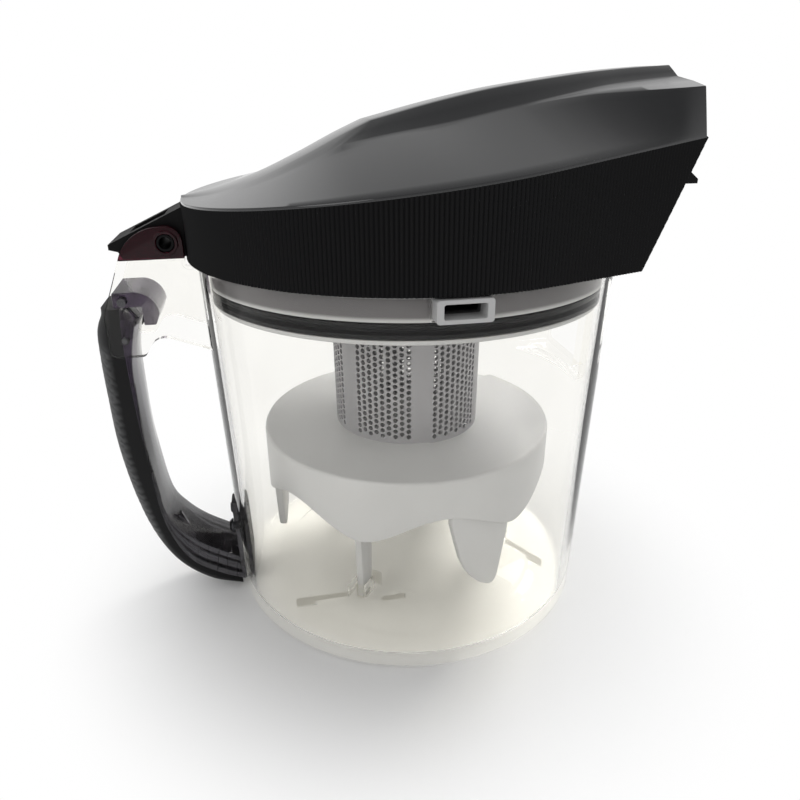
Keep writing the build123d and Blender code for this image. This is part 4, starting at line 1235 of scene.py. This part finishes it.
class LidForm:
    """Plan, belt line and lines of the cover in millimetres."""

    def __init__(self, lid):
        self.radius = lid.radius / MM
        self.angle = lid.side_angle
        self.low = lid.belt_low / MM
        self.rear = lid.belt_rear / MM
        self.nose = lid.belt_nose / MM

    def belt_top(self, x):
        return self.rear + (self.nose - self.rear) * (x + self.radius) / (BELT_NOSE_X + self.radius)

    def half_width(self, x, inset=0.0):
        r = self.radius - inset
        tangent = r * cos(self.angle)
        if x < tangent:
            return sqrt(max(r * r - x * x, 0.0))
        return r * sin(self.angle) - (x - tangent) / tan(self.angle)

    def nose_x(self, y, z, inset):
        """Face of the cover's nose at a width and a height."""
        rise = NOSE_ARC[0] - NOSE_ARC[1]
        r = (NOSE_ARC[2] ** 2 + rise ** 2) / (2 * rise)
        start = (self.nose - self.low) * tan(radians(NOSE_LEAN))
        return NOSE_ARC[0] - r + sqrt(r * r - y * y) + start + (z - self.nose) * tan(radians(COVER_LEAN)) - inset

    def section(self, x, inset):
        """Ridge, foot, shoulder and rim of the cover at x, each as y and z."""
        width = self.half_width(x, inset)
        ridge = line_at(COVER_RIDGE_REAR if x < HOOD_START + HOOD_SLANT else COVER_RIDGE_HOOD, x)
        foot = line_at(COVER_FOOT_REAR if x < HOOD_START else COVER_FOOT_HOOD, x)
        rim = Vector((width, self.belt_top(x) + COVER_LIP))
        ridge.x = min(ridge.x, RIDGE_SHARE * width)
        foot.x = min(foot.x, FOOT_SHARE * width)
        flank = line_at(COVER_FLANK_TOP, x)
        flank.x = foot.x
        shoulder = line_at(COVER_SHOULDER, max(x, COVER_SHOULDER[0][0]))
        away = shoulder.x - FOOT_Y
        flat = flank.lerp(rim, away / max(width - foot.x, LEAST_FLANK))
        share = min(1.0, max(0.0, (x - SHOULDER_RISE[0]) / (SHOULDER_RISE[1] - SHOULDER_RISE[0])))
        share *= share * (3 - 2 * share)
        shoulder = Vector((min(flat.x, width - SHOULDER_EDGE), flat.y + (shoulder.y - flat.y) * share))
        return ridge, foot, shoulder, rim


def line_at(points, x):
    """Y and z of a line of the cover at x."""
    return Vector([smooth_value([(p[0], p[k]) for p in points], x) for k in (1, 2)])


def smooth_value(pairs, x):
    """Smooth interpolation without overshoot."""
    spans = [b[0] - a[0] for a, b in zip(pairs, pairs[1:])]
    slopes = [(b[1] - a[1]) / s for a, b, s in zip(pairs, pairs[1:], spans)]
    tangents = [slopes[0]]
    for i in range(1, len(slopes)):
        if slopes[i - 1] * slopes[i] <= 0:
            tangents.append(0.0)
        else:
            w1 = 2 * spans[i] + spans[i - 1]
            w2 = spans[i] + 2 * spans[i - 1]
            tangents.append((w1 + w2) / (w1 / slopes[i - 1] + w2 / slopes[i]))
    tangents.append(slopes[-1])
    i = 0
    while i < len(spans) - 1 and x > pairs[i + 1][0]:
        i += 1
    t = (x - pairs[i][0]) / spans[i]
    a, b = pairs[i][1], pairs[i + 1][1]
    return (a * (1 + 2 * t) * (1 - t) ** 2 + tangents[i] * spans[i] * t * (1 - t) ** 2
            + b * t * t * (3 - 2 * t) - tangents[i + 1] * spans[i] * t * t * (1 - t))


class BIN_OT_cover(Operator):
    """Glossy cover: a dome at the rear that turns into a shouldered hood"""
    bl_idname = "dustbin.cover"
    bl_label = "Lid cover"

    row_step = 1.6
    edge_round = 0.45
    lip_round = 0.4
    nose_rows = 30
    flank_steps = 9
    deep = 120.0

    def profile(self, form, x, inset):
        """Half a cross-section of the skin from the middle to the rim, with narrow rounds on its edges."""
        ridge, foot, shoulder, rim = form.section(x, inset)
        crown = min(0.5, COVER_TOP - ridge.y)
        made = [Vector((share * ridge.x, ridge.y + crown * (1 - share * share))) for share in (0.0, 0.35, 0.7)]
        line = [made[-1], ridge, foot, shoulder, rim]
        for k in (1, 2, 3):
            here = line[k]
            behind, ahead = line[k - 1] - here, line[k + 1] - here
            reach = min(self.edge_round, 0.3 * behind.length, 0.3 * ahead.length)
            after = here + ahead.normalized() * reach
            made += [here + behind.normalized() * reach, after]
            steps = self.flank_steps if k == 3 else 2
            made += [after.lerp(line[k + 1], i / steps) for i in range(1, steps)]
        r = min(self.lip_round, 0.3 * rim.x)
        back = (line[3] - rim).normalized() * r
        made += [rim + back, rim + back * 0.3 - Vector((0, 0.3 * r)), rim - Vector((0, r))]
        return made

    def slanted(self, form, start, y, z, inset):
        """Place of a row's point along the lid: rows slant at the hood's start and follow the nose's curve."""
        first, last = NOSE_ROWS
        if start > first:
            return first + (form.nose_x(y, z, inset) - first) * (start - first) / (last - first)
        away = start - HOOD_START
        fade = cos(pi / 2 * min(1.0, abs(away) / HOOD_FADES[away >= 0])) ** 2
        return start + HOOD_SLANT * fade * min(1.0, max(0.0, (FOOT_Y - y) / SLANT_SPAN))

    def row(self, form, start, inset, lower):
        first = self.profile(form, start, inset)
        half = []
        for k, (y, z) in enumerate(first):
            x = start
            for _ in range(SETTLE_ROUNDS):
                x = self.slanted(form, start, y, z, inset)
                y, z = self.profile(form, x, inset)[k]
            half.append((x, y, z - lower))
        return [(x, -y, z) for x, y, z in reversed(half)] + half[1:]

    def step_on(self, starts, end):
        """Adds even rows from the last one up to an end."""
        last = starts[-1]
        steps = round((end - last) / self.row_step)
        starts += [last + (end - last) * (i + 1) / steps for i in range(steps)]

    def solid(self, name, form, inset, lower, below):
        """Closed body under the skin, down to a plane along the belt's top edge."""
        r = form.radius - inset
        starts = [-r * cos(radians(0.6 + 2.4 * i)) for i in range(22)]
        self.step_on(starts, HOOD_START - 0.4)
        starts += [HOOD_START, HOOD_START + 0.4]
        first, last = NOSE_ROWS
        self.step_on(starts, first)
        starts += [first + (last - first) * (i + 1) / self.nose_rows for i in range(self.nose_rows)]
        body = skinned(name, [self.row(form, start, inset, lower) for start in starts], closed=False)
        edit(body)
        bpy.ops.mesh.extrude_region_move(TRANSFORM_OT_translate={"value": (0, 0, -self.deep * MM)})
        bpy.ops.object.mode_set(mode="OBJECT")
        for vertex in body.data.vertices:
            if vertex.select:
                x, y, z = vertex.co / MM
                foot = x
                if x > first:
                    share = (x - first) / (form.nose_x(y, z + self.deep + lower, inset) - first)
                    for _ in range(SETTLE_ROUNDS):
                        across = y * form.half_width(foot, inset) / form.half_width(x, inset)
                        foot = first + share * (form.nose_x(across, form.belt_top(foot), inset) - first)
                    y = across
                vertex.co = Vector((foot, y, form.belt_top(foot) - below)) * MM
        edit(body)
        close_edit()
        return body

    def execute(self, context):
        lid = context.scene.bin_lid
        form = LidForm(lid)
        inset, wall = lid.cover_inset / MM, lid.cover_wall / MM
        cover = self.solid("lid_cover_gloss", form, inset, 0.0, 0.0)
        cut(cover, self.solid("hollow", form, inset + wall, wall, wall + 1.0))
        settle(cover, "lid", "gloss_cover", ["lid_cover"], smooth=24.0)
        return {"FINISHED"}


class BIN_OT_lid_parts(Operator):
    """Hinge pin and the screws under the lid"""
    bl_idname = "dustbin.lid_parts"
    bl_label = "Lid parts"

    pin_bore = 2.0
    screw_length = 11.0
    screw_places = [(x, y) for x in (-42.0, 42.0) for y in (-48.0, 48.0)]

    def execute(self, context):
        end, bore = CHEEK[1], self.pin_bore
        pin = spun("hinge_pin_black", rounded([(bore, -end, 0.3), (PIN_RADIUS, -end, 0.4), (PIN_RADIUS, end, 0.4),
                                               (bore, end, 0.3)], 0, 3), 48)
        turn(pin, 90, "X", (HINGE[0], 0, HINGE[1]))
        settle(pin, "lid", "black_plastic", ["hinge_pin"])
        low = context.scene.bin_lid.belt_low / MM
        screws = []
        for x, y in self.screw_places:
            screws.append(screw("lid_screw", self.screw_length))
            turn(screws[-1], 0, "Z", (x, y, low))
        joined(screws)
        named("lid_screws_zinc")
        settle(screws[0], "lid", "steel", ["lid_screws"])
        return {"FINISHED"}


# Stage


class BIN_OT_stage(Operator):
    """Pale floor, white surround, soft lamps and the camera"""
    bl_idname = "dustbin.stage"
    bl_label = "Stage"

    floor_white = (0.078, 0.160)
    sky_sides = (-0.8, 0.8)
    sky_shares = (0.7, 1.3)
    gloss_rise = (0.0, 0.86)
    key_place = (0.62, 0.62, 0.85)
    fill_place = (-0.7, -0.6, 0.6)
    camera_place = (-56.8, -267.1, 195.5)
    camera_turn = (11.45, 23.2, -0.35)

    def floor(self, setup):
        """Floor that keeps the object's shadow and shows white further out, without lighting the object."""
        deselect_all()
        bpy.ops.mesh.primitive_circle_add(vertices=64, radius=4.0, fill_type="NGON", location=(0, 0, -0.0004))
        floor = named("floor")
        take(floor)
        bpy.ops.object.transform_apply(location=True, rotation=True, scale=True)
        tree, shader, out = new_finish("floor")
        give(tree, shader, Base_Color=rgba(setup.floor), Roughness=0.75)
        white = put(tree, "ShaderNodeEmission", Strength=1.0)
        away = put(tree, "ShaderNodeVectorMath", operation="LENGTH")
        feed(tree, away.inputs[0], place_in(tree))
        share = product(tree, stretch(tree, away.outputs["Value"], self.floor_white),
                        any_ray(tree, "Camera", "Transmission", "Glossy"))
        give(tree, out, Surface=mix_shaders(tree, share, shader, white).outputs["Shader"])
        floor.data.materials.append(bpy.data.materials["floor"])

    def surround(self, scene, setup):
        """White to the camera and through clear plastic; graded softly as light and as a reflection."""
        world = bpy.data.worlds.new("surround")
        scene.world = world
        world.use_nodes = True
        tree = world.node_tree
        tree.nodes.clear()
        _, y, z = axes_of(tree, place_in(tree, "Generated"))
        sky = stretch(tree, y, self.sky_sides, *(setup.sky * share for share in self.sky_shares))
        gloss = stretch(tree, z, self.gloss_rise, setup.horizon, setup.zenith)
        light, mirrored, seen = (put(tree, "ShaderNodeBackground", Color=WHITE, Strength=strength)
                                 for strength in (sky, gloss, 1.0))
        mix = mix_shaders(tree, any_ray(tree, "Glossy"), light, mirrored)
        mix = mix_shaders(tree, any_ray(tree, "Camera", "Transmission"), mix, seen)
        put(tree, "ShaderNodeOutputWorld", Surface=mix.outputs["Shader"])

    def lamp(self, name, place, target, power, width, glossy):
        deselect_all()
        bpy.ops.object.light_add(type="AREA", location=place)
        lamp = bpy.context.object
        lamp.name = name
        lamp.data.shape = "DISK"
        lamp.data.size = width
        lamp.data.energy = power
        lamp.visible_glossy = glossy
        lamp.rotation_euler = (Vector(target) - Vector(place)).to_track_quat("-Z", "Y").to_euler()

    def camera(self, scene, setup):
        """Camera turned right, tipped down and rolled by the angles of camera_turn."""
        yaw, pitch, roll = (radians(angle) for angle in self.camera_turn)
        forward = Vector((sin(yaw) * cos(pitch), cos(yaw) * cos(pitch), -sin(pitch)))
        level = Vector((cos(yaw), -sin(yaw), 0.0))
        rise = level.cross(forward)
        right = cos(roll) * level + sin(roll) * rise
        up = cos(roll) * rise - sin(roll) * level
        deselect_all()
        bpy.ops.object.camera_add(location=(0, 0, 0))
        camera = bpy.context.object
        camera.name = "camera"
        camera.data.sensor_width = 36.0
        camera.data.sensor_fit = "HORIZONTAL"
        camera.data.lens = setup.lens
        camera.data.clip_start = 0.005
        turned = Matrix((right, up, -forward)).transposed().to_4x4()
        camera.matrix_world = Matrix.Translation(Vector(self.camera_place) * MM) @ turned
        scene.camera = camera

    def execute(self, context):
        scene = context.scene
        setup = scene.bin_stage
        self.floor(setup)
        self.surround(scene, setup)
        self.lamp("key", self.key_place, (0, 0, 0.08), setup.key, 0.5, False)
        self.lamp("fill", self.fill_place, (0, 0, 0.1), setup.fill, 0.6, True)
        self.camera(scene, setup)
        scene.view_settings.view_transform = "Standard"
        return {"FINISHED"}


class BIN_PT_panel(Panel):
    """Lists the steps that make the dust bin"""
    bl_idname = "BIN_PT_panel"
    bl_label = "Dust bin"
    bl_space_type = "VIEW_3D"
    bl_region_type = "UI"
    bl_category = "Dust bin"

    def draw(self, context):
        for step in STEPS:
            self.layout.operator(step.bl_idname)
        for group in GROUPS:
            box = self.layout.box()
            settings = getattr(context.scene, group)
            for key in settings.__annotations__:
                box.prop(settings, key)


GROUPS = {
    "bin_cup": BIN_PG_cup,
    "bin_insert": BIN_PG_insert,
    "bin_handle": BIN_PG_handle,
    "bin_lid": BIN_PG_lid,
    "bin_finish": BIN_PG_finish,
    "bin_stage": BIN_PG_stage,
}
STEPS = (BIN_OT_stage, BIN_OT_finishes, BIN_OT_dust_cup, BIN_OT_insert_ring, BIN_OT_shroud, BIN_OT_dust_skirt,
         BIN_OT_handle, BIN_OT_trigger, BIN_OT_cover, BIN_OT_lid_parts)


def register():
    for kind in (*GROUPS.values(), *STEPS, BIN_PT_panel):
        bpy.utils.register_class(kind)
    for key, kind in GROUPS.items():
        setattr(bpy.types.Scene, key, PointerProperty(type=kind))


def unregister():
    for key in GROUPS:
        delattr(bpy.types.Scene, key)
    for kind in (BIN_PT_panel, *reversed(STEPS), *reversed(GROUPS.values())):
        bpy.utils.unregister_class(kind)


def main():
    register()
    for step in STEPS:
        area, name = step.bl_idname.split(".")
        getattr(getattr(bpy.ops, area), name)()


if __name__ == "__main__":
    main()
